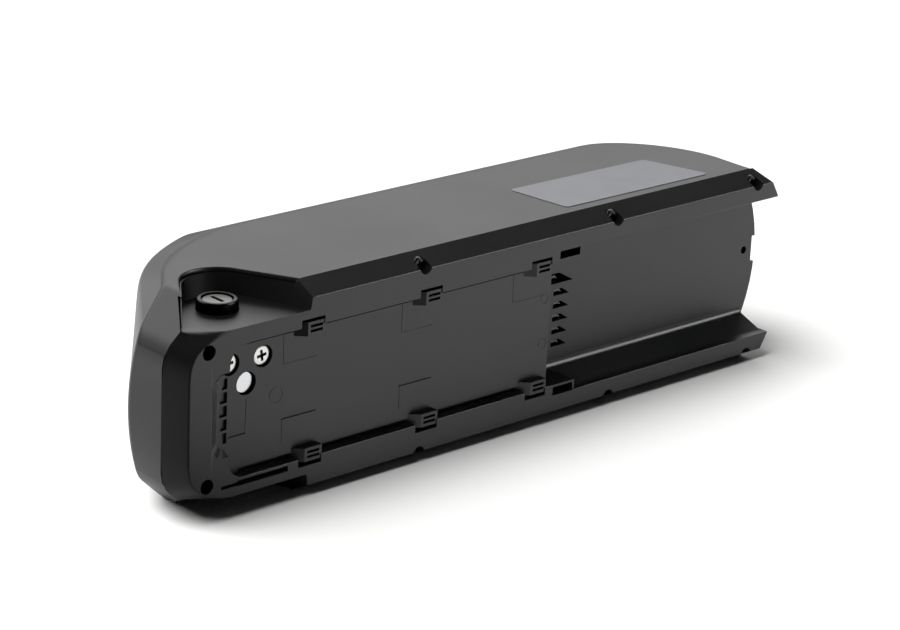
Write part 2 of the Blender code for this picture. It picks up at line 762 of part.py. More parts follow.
def cut_fastener_holes(body):
    for x, z in screw_places():
        cut(body, rod("Y", x, z, SCREW_HEAD_RADIUS + 2 * GAP, -0.004, SCREW_SEAT, 20))
        shank = circle(x, z, SCREW_SHANK_RADIUS + GAP, 12, math.pi / 12)
        cut(body, prism(shank, "Y", SCREW_SEAT - 0.001, 0.014))
    through = (HOOK_BAY_DEPTH - 0.002, PANEL_BACK + 0.003)
    cut(body, rod("Y", LOCK_X, BOLT_Z, BOLT_RADIUS + 2 * GAP, *through, 24))
    half = LOCK_BODY_HALF + GAP
    z = (LOCK_BODY_LOW - GAP, RECESS_FLOOR - WALL)
    cut(body, box((LOCK_X - half, LOCK_X + half), (PANEL_BACK, LOCK_BODY_BACK + GAP), z))
    for turn in (-1, 1):
        x = LOCK_X + turn * LOCK_SCREW_SPREAD
        sink = LOCK_SCREW_HEAD + 2 * GAP
        deep = (HOOK_BAY_DEPTH - 0.001, HOOK_BAY_DEPTH + LOCK_SCREW_SINK)
        cut(body, rod("Y", x, LOCK_SCREW_Z, sink, *deep, 24))
        cut(body, rod("Y", x, LOCK_SCREW_Z, LOCK_SCREW_SHANK + GAP, *through, 12))
    z = span(RECESS_FLOOR - WALL - 0.002, RECESS_FLOOR + 0.001, 1)
    cut(body, rod("Z", LOCK_X, LOCK_Y, LOCK_RING_RADIUS + GAP, *z, 28))
    z = span(RECESS_FLOOR - WALL - 0.002, RECESS_FLOOR + 0.001, -1)
    cut(body, rod("Z", LOCK_X, LOCK_Y, SOCKET_RADIUS + GAP, *z, 20))


def contact_zs():
    places = [CONTACT_FIRST, CONTACT_FIRST - CONTACT_FIRST_STEP]
    while len(places) < CONTACT_COUNT:
        places.append(places[-1] - CONTACT_PITCH)
    return places


def contact_slots():
    """Each slot as (start, length, flat, middle, height), from the upper one down."""
    slots = []
    for i, z in enumerate(contact_zs()):
        if i == 0:
            start = CONTACT_START - FIRST_SLOT_LEAD
            slots.append((start, FIRST_SLOT_LENGTH, FIRST_SLOT_FLAT, z, FIRST_SLOT_HEIGHT))
        else:
            slots.append((CONTACT_START, CONTACT_LENGTH, CONTACT_SLOT_FLAT, z, CONTACT_SLOT))
    return slots


def cut_contact_slots(body):
    """Slots that run out to a point at their tail side."""
    y = (DEEP_BAY_DEPTH - 0.002, BAY_BACK + 0.002)
    for start, length, flat, z, height in contact_slots():
        low = z - height / 2
        high = z + height / 2
        plan = [(start, low), (start + length, low), (start + flat, high), (start, high)]
        cut(body, prism(plan, "Y", *y))


def make_seals():
    """Seal strips just inside the main shell: one round the nose, one along each long edge."""
    inset = WALL + GAP
    y = (SEAM_DEPTH, SEAM_DEPTH + SEAL_HEIGHT)
    top = HALF - WALL - NOSE_BEVEL_DROP
    heights = (-top, -0.75 * top, 0.75 * top, top)
    outer = [(seam_x(z) + inset, z) for z in heights]
    plan = outer + [(x + SEAL_WIDTH, z) for x, z in outer[::-1]]
    finish(prism(plan, "Y", *y, "seal_nose"), RUBBER)
    high = HALF - inset
    start = RECESS_TAIL + TUB_WALL / math.cos(RECESS_TAIL_LEAN) + 2 * GAP
    end = CASE_LENGTH - TAIL_BOW_REACH
    drill = (y[0] - 0.001, y[1] + 0.001)
    ring = (y[0] + GAP / 3, y[1] - GAP / 3)
    for name, side in (("seal_upper", 1), ("seal_lower", -1)):
        body = box((start, end), y, span(high - SEAL_WIDTH, high, side), name)
        places = [(x, z) for x, z in screw_places() if start < x < end and z * side > 0]
        for x, z in places:
            join(body, rod("Y", x, z, BOSS_RADIUS + GAP + SEAL_WIDTH, *ring, 20))
        for x, z in places:
            cut(body, rod("Y", x, z, BOSS_RADIUS + GAP, *drill, 20))
        cut(body, box((start - 0.01, end + 0.01), drill, span(high, HALF + 0.01, side)))
        finish(body, RUBBER)


def make_screw(name, x, z, seat, head, height, shank, length, look):
    """A cross-head screw that points into the case."""
    body = rod("Y", x, z, head, seat - height, seat - GAP, 20, name)
    join(body, rod("Y", x, z, shank, seat - height / 2, seat + length, 10))
    arm = head * 0.62
    thin = head * 0.13
    deep = (seat - height - 0.001, seat - height * 0.35)
    cut(body, box((x - arm, x + arm), deep, (z - thin, z + thin)))
    cut(body, box((x - thin, x + thin), deep, (z - arm, z + arm)))
    return finish(body, look, (x, seat, z))


def make_case_screws():
    for i, (x, z) in enumerate(screw_places()):
        make_screw(
            f"case_screw_{i + 1}", x, z, SCREW_SEAT, SCREW_HEAD_RADIUS, SCREW_HEAD_HEIGHT,
            SCREW_SHANK_RADIUS, SCREW_LENGTH, STEEL,
        )


def make_lock_screws():
    for name, turn in (("lock_screw_nose_side", -1), ("lock_screw_tail_side", 1)):
        make_screw(
            name, LOCK_X + turn * LOCK_SCREW_SPREAD, LOCK_SCREW_Z,
            HOOK_BAY_DEPTH + LOCK_SCREW_SINK, LOCK_SCREW_HEAD, LOCK_SCREW_HEAD_HEIGHT,
            LOCK_SCREW_SHANK, LOCK_SCREW_LENGTH, STEEL,
        )


def cam_level():
    """Height of the underside of the lock's cam."""
    return BOLT_Z + BOLT_SLIDER_HEIGHT / 2 + CAM_LIFT


def make_lock_housing():
    front = PANEL_BACK + GAP
    x = (LOCK_X - LOCK_BODY_HALF, LOCK_X + LOCK_BODY_HALF)
    top = RECESS_FLOOR - WALL - GAP
    body = box(x, (front, LOCK_BODY_BACK), (LOCK_BODY_LOW, top), "lock_housing")
    face = RECESS_FLOOR + LOCK_RING_PROUD
    join(body, rod("Z", LOCK_X, LOCK_Y, LOCK_RING_RADIUS, top - 0.002, face, 28))
    chamber_top = cam_level() + CAM_THICKNESS + GAP
    bore = LOCK_CYLINDER_RADIUS + GAP
    cut(body, rod("Z", LOCK_X, LOCK_Y, bore, chamber_top - 0.001, face + 0.002, 24))
    wall = 0.0015
    y = (front + 0.006, LOCK_BODY_BACK - wall)
    cut(body, box((x[0] + wall, x[1] - wall), y, (LOCK_BODY_LOW - 0.001, chamber_top)))
    cut(body, rod("Y", LOCK_X, BOLT_Z, BOLT_RADIUS + GAP, front - 0.001, front + 0.008, 24))
    for turn in (-1, 1):
        place = LOCK_X + turn * LOCK_SCREW_SPREAD
        reach = HOOK_BAY_DEPTH + LOCK_SCREW_SINK + LOCK_SCREW_LENGTH + 0.0005
        cut(body, rod("Y", place, LOCK_SCREW_Z, LOCK_SCREW_SHANK + GAP, front - 0.001, reach, 12))
    return finish(body, CHROME)


def pin_place():
    """The cam pin at rest, half the bolt's travel behind the lock's axis."""
    return LOCK_X - BOLT_TRAVEL / 2, LOCK_Y + BOLT_TRAVEL / 2


def make_lock_cylinder():
    level = cam_level()
    face = RECESS_FLOOR + LOCK_RING_PROUD - 0.0006
    body = rod("Z", LOCK_X, LOCK_Y, LOCK_CYLINDER_RADIUS, level, face, 24, "lock_cylinder")
    join(body, rod("Z", LOCK_X, LOCK_Y, CAM_RADIUS, level, level + CAM_THICKNESS, 24))
    x, y = pin_place()
    low = BOLT_Z + GAP
    join(body, rod("Z", x, y, PIN_RADIUS, low, level + 0.001, 12))
    length = KEYWAY_LENGTH / 2
    width = KEYWAY_WIDTH / 2
    deep = (face - KEYWAY_DEPTH, face + 0.002)
    cut(body, box((LOCK_X - width, LOCK_X + width), (LOCK_Y - length, LOCK_Y + length), deep))
    return finish(body, CHROME, (LOCK_X, LOCK_Y, face))


def make_lock_bolt():
    wall = 0.0015
    front = HOOK_BAY_DEPTH + BOLT_RECESS
    slider_start = PANEL_BACK + GAP + 0.006 + BOLT_TRAVEL + 0.0005
    slider_end = LOCK_BODY_BACK - wall - GAP
    half = LOCK_BODY_HALF - wall - GAP
    height = BOLT_SLIDER_HEIGHT / 2
    z = (BOLT_Z - height, BOLT_Z + height)
    body = rod("Y", LOCK_X, BOLT_Z, BOLT_RADIUS, front, slider_start + 0.002, 24, "lock_bolt")
    join(body, box((LOCK_X - half, LOCK_X + half), (slider_start, slider_end), z))
    x, y = pin_place()
    slot = PIN_RADIUS + PIN_SLACK
    across = (LOCK_X - half - 0.001, x + PIN_RADIUS + 0.002)
    cut(body, box(across, (y - slot, y + slot), (BOLT_Z - GAP, z[1] + 0.001)))
    return finish(body, CHROME, (LOCK_X, front, BOLT_Z))


def make_terminal_block():
    zs = contact_zs()
    low = zs[-1] - TERMINAL_BORDER
    high = zs[0] + TERMINAL_BORDER
    x = (TERMINAL_START, TERMINAL_START + TERMINAL_LENGTH)
    front = BAY_BACK + GAP
    body = box(x, (front, front + TERMINAL_DEPTH), (low, high), "terminal_block")
    back = front + TERMINAL_DEPTH - WALL
    for start, length, _, z, height in contact_slots():
        across = (start, start + length)
        cut(body, box(across, (front - 0.001, back), (z - height / 2, z + height / 2)))
    finish(body, BLACK_MATT)
    for i, slot in enumerate(contact_slots()):
        make_contact(f"contact_{i + 1}", slot, back)


def make_contact(name, slot, back):
    """A blade with a slanting barb that stands on a foot in its chamber."""
    start, length, _, z, height = slot
    half = height / 2 - GAP
    across = (start + GAP, start + length - GAP)
    body = box(across, (back - GAP - 0.001, back - GAP), (z - half, z + half), name)
    thick = CONTACT_THICKNESS
    deep = (DEEP_BAY_DEPTH + 0.001, back - GAP - 0.0005)
    barb = start + CONTACT_BARB_X
    rise = CONTACT_BARB_HEIGHT / 2
    middle = z + thick / 2
    plan = [(barb, middle + rise), (barb + rise * 2, middle - rise)]
    plan += [(barb + rise * 2 + thick, middle - rise), (barb + thick, middle + rise)]
    blade = prism(plan, "Y", *deep)
    inset = (deep[0] + GAP / 3, deep[1] - GAP / 3)
    end = barb + rise + thick / 2
    join(blade, box((across[0], end), inset, (middle - thick / 2, middle + thick / 2)))
    join(body, blade)
    finish(body, COPPER)


def row_y(row):
    return CASE_DEPTH - OUTER_ROW_INSET - ROW_STEP * row


def cell_rows():
    rows = []
    for row, (shift, groups) in enumerate(zip(ROW_SHIFTS, ROW_GROUPS)):
        start = ROW_NOSE_ROOM + CELL_PITCH * shift
        count = groups * CELLS_IN_GROUP
        rows.append([(start + CELL_PITCH * i, row_y(row)) for i in range(count)])
    return rows


def make_cell_groups():
    number = 1
    half = CELL_LENGTH / 2
    for places in cell_rows():
        for first in range(0, len(places), CELLS_IN_GROUP):
            group = places[first : first + CELLS_IN_GROUP]
            make_cell_group(f"cell_group_{number:02d}", group, half)
            number += 1


def make_cell_group(name, group, half):
    """Cells in parallel, tied at both ends by a nickel strip."""
    turn = math.pi / CELL_SIDES
    x, y = group[0]
    body = prism(circle(x, y, CELL_RADIUS, CELL_SIDES, turn), "Z", -half, half, name)
    for x, y in group[1:]:
        join(body, prism(circle(x, y, CELL_RADIUS, CELL_SIDES, turn), "Z", -half, half))
    across = (group[0][0] - STRIP_WIDTH / 2, group[-1][0] + STRIP_WIDTH / 2)
    deep = (group[0][1] - STRIP_WIDTH / 2, group[0][1] + STRIP_WIDTH / 2)
    for side in (1, -1):
        join(body, box(across, deep, span(half - 0.0003, half + STRIP_THICKNESS, side)))
    finish(body, CELL_SLEEVE)


def make_holders():
    """Plates that space the cells, one near each end, resting on the shells."""
    rows = cell_rows()
    half = CELL_LENGTH / 2
    reach = CELL_RADIUS + HOLDER_BORDER
    for name, side in (("cell_holder_upper", 1), ("cell_holder_lower", -1)):
        z = span(half - CELL_STAND_OUT - HOLDER_THICKNESS, half - CELL_STAND_OUT, side)
        body = None
        for row, places in enumerate(rows):
            x = (places[0][0] - reach, places[-1][0] + reach)
            y = [places[0][1] - reach, places[0][1] + reach]
            if row == 0:
                y[1] = CASE_DEPTH - WALL - GAP
            if row == len(rows) - 1:
                y[0] = BASE_TOP + GAP
            if body is None:
                body = box(x, y, z, name)
            else:
                join(body, box(x, y, z))
        y = (row_y(2) - 0.004, row_y(1) + 0.004)
        join(body, box((rows[1][0][0], board_x() - GAP), y, z))
        combine(body, loft("tool", case_rings(WALL + GAP, 0.0)), "INTERSECT")
        turn = math.pi / CELL_SIDES
        hole = CELL_RADIUS + HOLDER_SLACK
        drill = (min(z) - 0.001, max(z) + 0.001)
        for places in rows:
            for x, y in places:
                cut(body, prism(circle(x, y, hole, CELL_SIDES, turn), "Z", *drill))
        finish(body, HOLDER)


def board_x():
    """Face of the protection board, behind the last cell of the second row."""
    last = max(places[-1][0] for places in cell_rows())
    return last + CELL_RADIUS + 0.004


def make_board():
    x = board_x()
    y = (BAY_BACK + BOARD_DROP, row_y(2) + BOARD_RISE)
    half = CELL_LENGTH / 2 - CELL_STAND_OUT
    body = box((x, x + BOARD_THICKNESS), y, (-half, half), "protection_board")
    pitch = 2 * half / CHIP_COUNT
    for i in range(CHIP_COUNT):
        z = -half + pitch * (i + 0.5)
        chip = (z - CHIP_SIZE / 2, z + CHIP_SIZE / 2)
        middle = row_y(2) + BOARD_RISE / 3
        across = (middle - CHIP_SIZE / 2, middle + CHIP_SIZE / 2)
        top = x + BOARD_THICKNESS
        join(body, box((top - 0.0005, top + CHIP_HEIGHT), across, chip))
    finish(body, BOARD)


def make_lead(name, side, look):
    """A lead from the protection board to the terminal block, with a slight sag."""
    start = TERMINAL_START + TERMINAL_LENGTH + GAP
    end = board_x() - GAP
    y = BAY_BACK + GAP + TERMINAL_DEPTH / 2
    z = side * LEAD_SPREAD
    steps = 10
    sides = 10
    rings = []
    for i in range(steps + 1):
        share = i / steps
        x = start + (end - start) * share
        drop = LEAD_SAG * (1 - math.cos(2 * math.pi * share)) / 2
        rings.append([(x, u, v - drop) for u, v in circle(y, z, LEAD_RADIUS, sides)])
    finish(loft(name, rings), look)


def make_foam():
    row = cell_rows()[0]
    first = row[0][0]
    last = row[-1][0]
    y = (row_y(0) + CELL_RADIUS + GAP, CASE_DEPTH - WALL - GAP)
    body = box((first, last), y, (-FOAM_HALF, FOAM_HALF), "foam_pad")
    combine(body, loft("tool", case_rings(WALL + GAP, 0.0)), "INTERSECT")
    finish(body, FOAM)


def make_charge_socket():
    floor = -RECESS_FLOOR
    face = floor - SOCKET_FLANGE
    inner = floor + SOCKET_LENGTH
    body = rod("Z", LOCK_X, LOCK_Y, SOCKET_RADIUS, face, inner, 20, "charge_socket")
    join(body, rod("Z", LOCK_X, LOCK_Y, SOCKET_FLANGE_RADIUS, face, floor - GAP, 24))
    bottom = face + SOCKET_BORE_DEPTH
    cut(body, rod("Z", LOCK_X, LOCK_Y, SOCKET_BORE, face - 0.001, bottom, 16))
    pin = (face + 0.004, bottom + 0.001)
    join(body, rod("Z", LOCK_X, LOCK_Y, SOCKET_PIN_RADIUS, *pin, 10))
    finish(body, BLACK_MATT)
    low = floor + WALL + GAP
    nut = prism(circle(LOCK_X, LOCK_Y, NUT_RADIUS, 6), "Z", low, low + NUT_HEIGHT, "charge_socket_nut")
    cut(nut, rod("Z", LOCK_X, LOCK_Y, SOCKET_RADIUS + GAP, low - 0.001, low + NUT_HEIGHT + 0.001, 20))
    finish(nut, STEEL)


def cap_hinge():
    """Axis of the cap's hinge: (x, z)."""
    x = LOCK_X + CAP_RADIUS + CAP_HINGE_RADIUS
    z = -RECESS_FLOOR - SOCKET_FLANGE - GAP - CAP_THICKNESS / 2
    return x, z


def make_charge_cap():
    """A rubber cap with a plug in the socket, hinged at its tail side."""
    x, z = cap_hinge()
    high = z + CAP_THICKNESS / 2
    low = z - CAP_THICKNESS / 2
    body = rod("Z", LOCK_X, LOCK_Y, CAP_RADIUS, low, high, 24, "charge_cap")
    join(body, rod("Z", LOCK_X, LOCK_Y, CAP_PLUG_RADIUS, high - 0.001, high + CAP_PLUG_LENGTH, 14))
    half = CAP_HINGE_LENGTH / 2
    y = (LOCK_Y - half, LOCK_Y + half)
    join(body, box((x - 0.004, x), y, (low, high)))
    join(body, rod("Y", x, z, CAP_HINGE_RADIUS, *y, 14))
    finish(body, RUBBER, (x, LOCK_Y, z))


def main():
    clear_scene()
    make_base_shell()
    make_main_shell()
    make_seals()
    make_case_screws()
    make_lock_housing()
    make_lock_cylinder()
    make_lock_bolt()
    make_lock_screws()
    make_terminal_block()
    make_cell_groups()
    make_holders()
    make_board()
    make_lead("positive_lead", 1, RED_LEAD)
    make_lead("negative_lead", -1, BLACK_LEAD)
    make_foam()
    make_charge_socket()
    make_charge_cap()


main()
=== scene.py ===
"""Looks of a slide-on electric bicycle battery pack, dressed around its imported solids."""

import math

import bmesh
import bpy
from mathutils import Matrix, Vector


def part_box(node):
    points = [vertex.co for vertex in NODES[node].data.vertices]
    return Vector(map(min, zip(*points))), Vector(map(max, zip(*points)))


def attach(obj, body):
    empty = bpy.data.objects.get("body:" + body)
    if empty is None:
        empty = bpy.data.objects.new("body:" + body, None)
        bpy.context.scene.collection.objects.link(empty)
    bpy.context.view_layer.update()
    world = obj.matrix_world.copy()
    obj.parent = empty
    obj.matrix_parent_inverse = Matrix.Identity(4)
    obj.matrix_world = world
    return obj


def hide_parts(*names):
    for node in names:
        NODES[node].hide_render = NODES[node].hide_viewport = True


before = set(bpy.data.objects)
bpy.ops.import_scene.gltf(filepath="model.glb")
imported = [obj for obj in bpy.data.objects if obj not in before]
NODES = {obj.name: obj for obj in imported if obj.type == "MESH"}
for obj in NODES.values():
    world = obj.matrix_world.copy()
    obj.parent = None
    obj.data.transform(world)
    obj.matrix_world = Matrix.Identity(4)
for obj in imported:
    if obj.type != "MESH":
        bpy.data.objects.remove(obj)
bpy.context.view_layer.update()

bl_info = {
    "name": "Bicycle Battery Pack",
    "version": (1, 0, 0),
    "blender": (4, 5, 0),
    "location": "3D View > Sidebar > Pack",
    "description": "Dresses a slide-on battery pack: mouldings, screws, lock, port and stage",
    "category": "Object",
}

MM = 0.001

# The case's own frame: X from the nose, Y from the mounting face, Z from the middle plane
CASE_LENGTH = 353 * MM
CASE_DEPTH = 91 * MM
HALF = 45 * MM
ORIGIN = Vector((-CASE_LENGTH / 2, -CASE_DEPTH / 2, HALF))

# Clearance between two pieces, and how far a cutting body runs past what it cuts
GAP = 0.3 * MM
OVERRUN = 4 * MM
# Sinks a joined face into its neighbour, so that the two don't lie flush
SINK = 0.01 * MM


def linear(text):
    """An sRGB hex colour as linear red, green, blue."""
    parts = [int(text[i : i + 2], 16) / 255 for i in (1, 3, 5)]
    return [c / 12.92 if c <= 0.04045 else ((c + 0.055) / 1.055) ** 2.4 for c in parts]


def length(name, description, default):
    """A length in metres that a user may change."""
    return bpy.props.FloatProperty(
        name=name, description=description, default=default, min=0.0, precision=5,
        subtype="DISTANCE", unit="LENGTH",
    )


def colour(name, description, text):
    """A colour that a user may change."""
    return bpy.props.FloatVectorProperty(
        name=name, description=description, default=linear(text), size=3, min=0.0, max=1.0,
        subtype="COLOR",
    )


def angle(name, description, degrees):
    """An angle that a user may change."""
    return bpy.props.FloatProperty(
        name=name, description=description, default=math.radians(degrees), subtype="ANGLE",
    )


class PackSizes(bpy.types.PropertyGroup):
    """Sizes of the details that the looks add to the solids."""

    edge_round: length("Edge round", "Round on the edges of the base moulding", 0.35 * MM)
    face_round: length("Face round", "Round between the mounting face and the nose", 0.5 * MM)
    lip_round: length("Lip round", "Round on the front lip of both recesses", 5.0 * MM)
    rim_round: length("Rim round", "Round on the rim of both recess openings", 1.2 * MM)
    flank_round: length("Flank round", "Round between the flanks and the outer bevel", 3.0 * MM)
    bevel_round: length("Bevel round", "Round between the outer bevel and the back", 4.0 * MM)
    small_round: length("Small round", "Round on small metal and plastic pieces", 0.2 * MM)
    wall: length("Wall", "Wall of the main moulding", 2.5 * MM)
    plate_thickness: length("Plate thickness", "Thickness of the blank plate", 0.25 * MM)
    plate_corner: length("Plate corner", "Corner radius of the blank plate", 2.0 * MM)


class PackColours(bpy.types.PropertyGroup):
    """Colours of the finishes."""

    shell: colour("Case", "Black moulded ABS", "#0d0d0e")
    fitting: colour("Fittings", "Black glass-filled nylon", "#151516")
    rubber: colour("Rubber", "Black moulded rubber", "#131313")
    zinc: colour("Lock screws", "Zinc-plated steel", "#dcdcd8")
    # Blackened steel of the case screws; the same colour is painted as shade on the walls of each
    # screw's cross
    oxide: colour("Case screws", "Blackened steel", "#3c3c3e")
    chrome: colour("Bolt", "Bright chromed die casting", "#d4d6d8")
    ring: colour("Lock ring", "Black chromed die casting", "#2b2b2d")
    plug: colour("Lock cylinder", "Satin nickel on a die casting", "#757472")
    # Tin's grey, darkened further as painted shade of the slots that the blades sit in
    tin: colour("Contacts", "Dull tinned copper", "#565450")
    sleeve: colour("Cells", "Shrink sleeve of the cells", "#3f8488")
    nickel: colour("Strips", "Nickel strip", "#bdb8ae")
    holder: colour("Holders", "Moulded cell holders", "#2d2d2f")
    board: colour("Board", "Lacquered circuit board", "#1c5a38")
    red: colour("Positive lead", "Red silicone sleeve", "#b3211c")
    black: colour("Negative lead", "Black silicone sleeve", "#19191b")
    foam: colour("Foam", "Grey foam", "#77777a")
    plate: colour("Plate", "Bare plastic film", "#646569")
    floor: colour("Floor", "Pale studio floor", "#f6f6f5")


class PackView(bpy.types.PropertyGroup):
    """The camera's place, as in the photograph."""

    azimuth: angle("Azimuth", "Turn of the view from the mounting face towards the nose", 43.482)
    elevation: angle("Elevation", "Height of the view above the horizon", 19.407)
    roll: angle("Roll", "Tilt of the camera", 2.619)
    distance: length("Distance", "From the camera to the aim", 1.29419)
    aim: bpy.props.FloatVectorProperty(
        name="Aim", description="Point that the camera looks at", size=3,
        default=(0.00468, -0.0055, 0.04281), subtype="XYZ", unit="LENGTH",
    )
    lens: bpy.props.FloatProperty(
        name="Lens", description="Focal length for a 36 mm wide frame, in mm", default=120.0,
    )


# Materials

FINISHES = {}
# Where the sleeve of the cells begins and ends, above the floor
SLEEVE = (12.6 * MM, 77.4 * MM)
# A wave texture of scale one repeats at this distance
WAVE_LENGTH = 0.314


def add(tree, kind, inputs=None, to=None, **settings):
    """Adds a node with its settings; each input is a value or another node's output.

    The node's first output goes on to the socket that is given, if there is one.
    """
    node = tree.nodes.new(kind)
    for name, value in settings.items():
        setattr(node, name, value)
    for name, value in (inputs or {}).items():
        if isinstance(value, bpy.types.NodeSocket):
            tree.links.new(value, node.inputs[name])
        else:
            node.inputs[name].default_value = value
    if to:
        tree.links.new(node.outputs[0], to)
    return node


def shade(rgb, factor):
    """The colour made lighter or darker, with an alpha of one."""
    return [min(c * factor, 1.0) for c in rgb] + [1.0]


def start_material(name, rgb, roughness, metallic=0.0, ior=1.5):
    """A material with its shader set, and the piece's own coordinates in metres."""
    made = bpy.data.materials.new(name)
    made.use_nodes = True
    tree = made.node_tree
    shader = tree.nodes["Principled BSDF"]
    shader.inputs["Base Color"].default_value = shade(rgb, 1.0)
    shader.inputs["Roughness"].default_value = roughness
    shader.inputs["Metallic"].default_value = metallic
    shader.inputs["IOR"].default_value = ior
    made.diffuse_color = shade(rgb, 1.0)
    coords = add(tree, "ShaderNodeTexCoord").outputs["Object"]
    return made, tree, shader, coords


def vary(tree, shader, coords, rgb, patch, spread, low, high):
    """Cloudy change of tone and gloss over patches of a given size."""
    cloud = add(tree, "ShaderNodeTexNoise", {"Vector": coords, "Scale": 1 / patch, "Detail": 3.0})
    tone = add(
        tree, "ShaderNodeMix",
        {"Factor": cloud.outputs["Fac"], "A": shade(rgb, 1 - spread), "B": shade(rgb, 1 + spread)},
        data_type="RGBA",
    )
    # Nearly all of the cloud lies between 0.3 and 0.7
    spread_out = {"From Min": 0.3, "From Max": 0.7, "To Min": low, "To Max": high}
    tree.links.new(tone.outputs["Result"], shader.inputs["Base Color"])
    add(
        tree, "ShaderNodeMapRange", {"Value": cloud.outputs["Fac"], **spread_out},
        to=shader.inputs["Roughness"],
    )


def fine_relief(tree, shader, coords, size, detail, depth, strength):
    """Grain, marks or folds of a real size and depth, seen in the light on the surface."""
    pattern = add(
        tree, "ShaderNodeTexNoise", {"Vector": coords, "Scale": 1 / size, "Detail": detail},
    )
    add(
        tree, "ShaderNodeBump",
        {"Height": pattern.outputs["Fac"], "Distance": depth, "Strength": strength},
        to=shader.inputs["Normal"],
    )


def moulded_abs(rgb):
    """Injection-moulded ABS from a spark-eroded tool: a satin skin with a fine even grain."""
    made, tree, shader, coords = start_material("moulded_abs_satin_black", rgb, 0.38, ior=1.54)
    vary(tree, shader, coords, rgb, 60 * MM, 0.08, 0.36, 0.4)
    # The real grain is about 0.1 mm; it is drawn at 0.7 mm so that it shows
    fine_relief(tree, shader, coords, 0.7 * MM, 2.0, 0.03 * MM, 0.25)
    return made


def filled_nylon(rgb):
    """Glass-filled nylon as moulded: matt, with short fibres that show as fine flecks."""
    made, tree, shader, coords = start_material("moulded_glass_filled_nylon", rgb, 0.55, ior=1.53)
    vary(tree, shader, coords, rgb, 4 * MM, 0.2, 0.48, 0.62)
    # Fibres are 0.3 mm long; they are drawn twice as long so that they show
    flecks = add(
        tree, "ShaderNodeTexVoronoi", {"Vector": coords, "Scale": 1 / (0.6 * MM)}, feature="F1",
    )
    add(
        tree, "ShaderNodeBump",
        {"Height": flecks.outputs["Distance"], "Distance": 0.02 * MM, "Strength": 0.2},
        to=shader.inputs["Normal"],
    )
    return made


def moulded_rubber(rgb):
    """Compression-moulded rubber: dull, with a dry bloom in patches."""
    made, tree, shader, coords = start_material("moulded_black_rubber", rgb, 0.75, ior=1.52)
    vary(tree, shader, coords, rgb, 6 * MM, 0.25, 0.62, 0.8)
    fine_relief(tree, shader, coords, 0.5 * MM, 3.0, 0.02 * MM, 0.25)
    return made


def plated_steel(name, rgb):
    """Plated steel, bright or blackened: slightly milky, with soft marks from the tumbling."""
    made, tree, shader, coords = start_material(name, rgb, 0.3, 1.0)
    vary(tree, shader, coords, rgb, 1.5 * MM, 0.06, 0.24, 0.36)
    fine_relief(tree, shader, coords, 0.3 * MM, 4.0, 0.004 * MM, 0.2)
    return made


def plated_casting(name, rgb, axis, gloss):
    """Plated zinc die casting, turned before plating: fine rings round the lock's axis."""
    made, tree, shader, coords = start_material(name, rgb, gloss, 1.0)
    vary(tree, shader, coords, rgb, 5 * MM, 0.05, gloss - 0.05, gloss + 0.06)
    centred = add(tree, "ShaderNodeMapping", {"Vector": coords, "Location": [-c for c in axis]})
    # The rings are 0.5 mm apart
    rings = add(
        tree, "ShaderNodeTexWave",
        {"Vector": centred.outputs["Vector"], "Scale": WAVE_LENGTH / (0.5 * MM), "Distortion": 0.0},
        wave_type="RINGS", rings_direction="Z",
    )
    add(
        tree, "ShaderNodeBump",
        {"Height": rings.outputs["Fac"], "Distance": 0.006 * MM, "Strength": 0.3},
        to=shader.inputs["Normal"],
    )
    return made


def tinned_copper(rgb):
    """Hot-tinned copper strip: soft metal shine with faint rolling lines along the blade."""
    made, tree, shader, coords = start_material("tinned_copper_strip", rgb, 0.35, 1.0)
    vary(tree, shader, coords, rgb, 2 * MM, 0.08, 0.28, 0.42)
    stretched = add(tree, "ShaderNodeMapping", {"Vector": coords, "Scale": (0.05, 1.0, 1.0)})
    fine_relief(tree, shader, stretched.outputs["Vector"], 0.15 * MM, 2.0, 0.008 * MM, 0.3)
    return made


def cell_sleeve(rgb, nickel, low, high):
    """Glossy shrink sleeve on the cells; past both of its ends the welded nickel strip shows."""
    made, tree, shader, coords = start_material("pvc_shrink_sleeve", rgb, 0.3, ior=1.54)
    height = add(tree, "ShaderNodeSeparateXYZ", {"Vector": coords}).outputs["Z"]
    above = add(tree, "ShaderNodeMath", {0: height, 1: high}, operation="GREATER_THAN")
    below = add(tree, "ShaderNodeMath", {0: height, 1: low}, operation="LESS_THAN")
    ends = add(tree, "ShaderNodeMath", {0: above.outputs[0], 1: below.outputs[0]}, operation="ADD")
    tone = add(
        tree, "ShaderNodeMix",
        {"Factor": ends.outputs[0], "A": shade(rgb, 1.0), "B": shade(nickel, 1.0)},
        data_type="RGBA",
    )
    tree.links.new(tone.outputs["Result"], shader.inputs["Base Color"])
    tree.links.new(ends.outputs[0], shader.inputs["Metallic"])
    fine_relief(tree, shader, coords, 5 * MM, 2.0, 0.1 * MM, 0.3)
    return made


def moulded_holder(rgb):
    """Flame-retardant ABS blend, as moulded: even and matt."""
    made, tree, shader, coords = start_material("moulded_holder_plastic", rgb, 0.55, ior=1.57)
    vary(tree, shader, coords, rgb, 8 * MM, 0.12, 0.5, 0.6)
    return made


def lacquered_board(rgb):
    """Glass-epoxy board under green solder lacquer: the weave shows faintly through the gloss."""
    made, tree, shader, coords = start_material("glass_epoxy_board", rgb, 0.35, ior=1.55)
    vary(tree, shader, coords, rgb, 5 * MM, 0.15, 0.28, 0.4)
    # Glass cloth has a thread every 0.5 mm
    weave = add(
        tree, "ShaderNodeTexWave",
        {"Vector": coords, "Scale": WAVE_LENGTH / (0.5 * MM), "Distortion": 1.0},
        wave_type="BANDS", bands_direction="Y",
    )
    add(
        tree, "ShaderNodeBump",
        {"Height": weave.outputs["Fac"], "Distance": 0.02 * MM, "Strength": 0.2},
        to=shader.inputs["Normal"],
    )
    return made


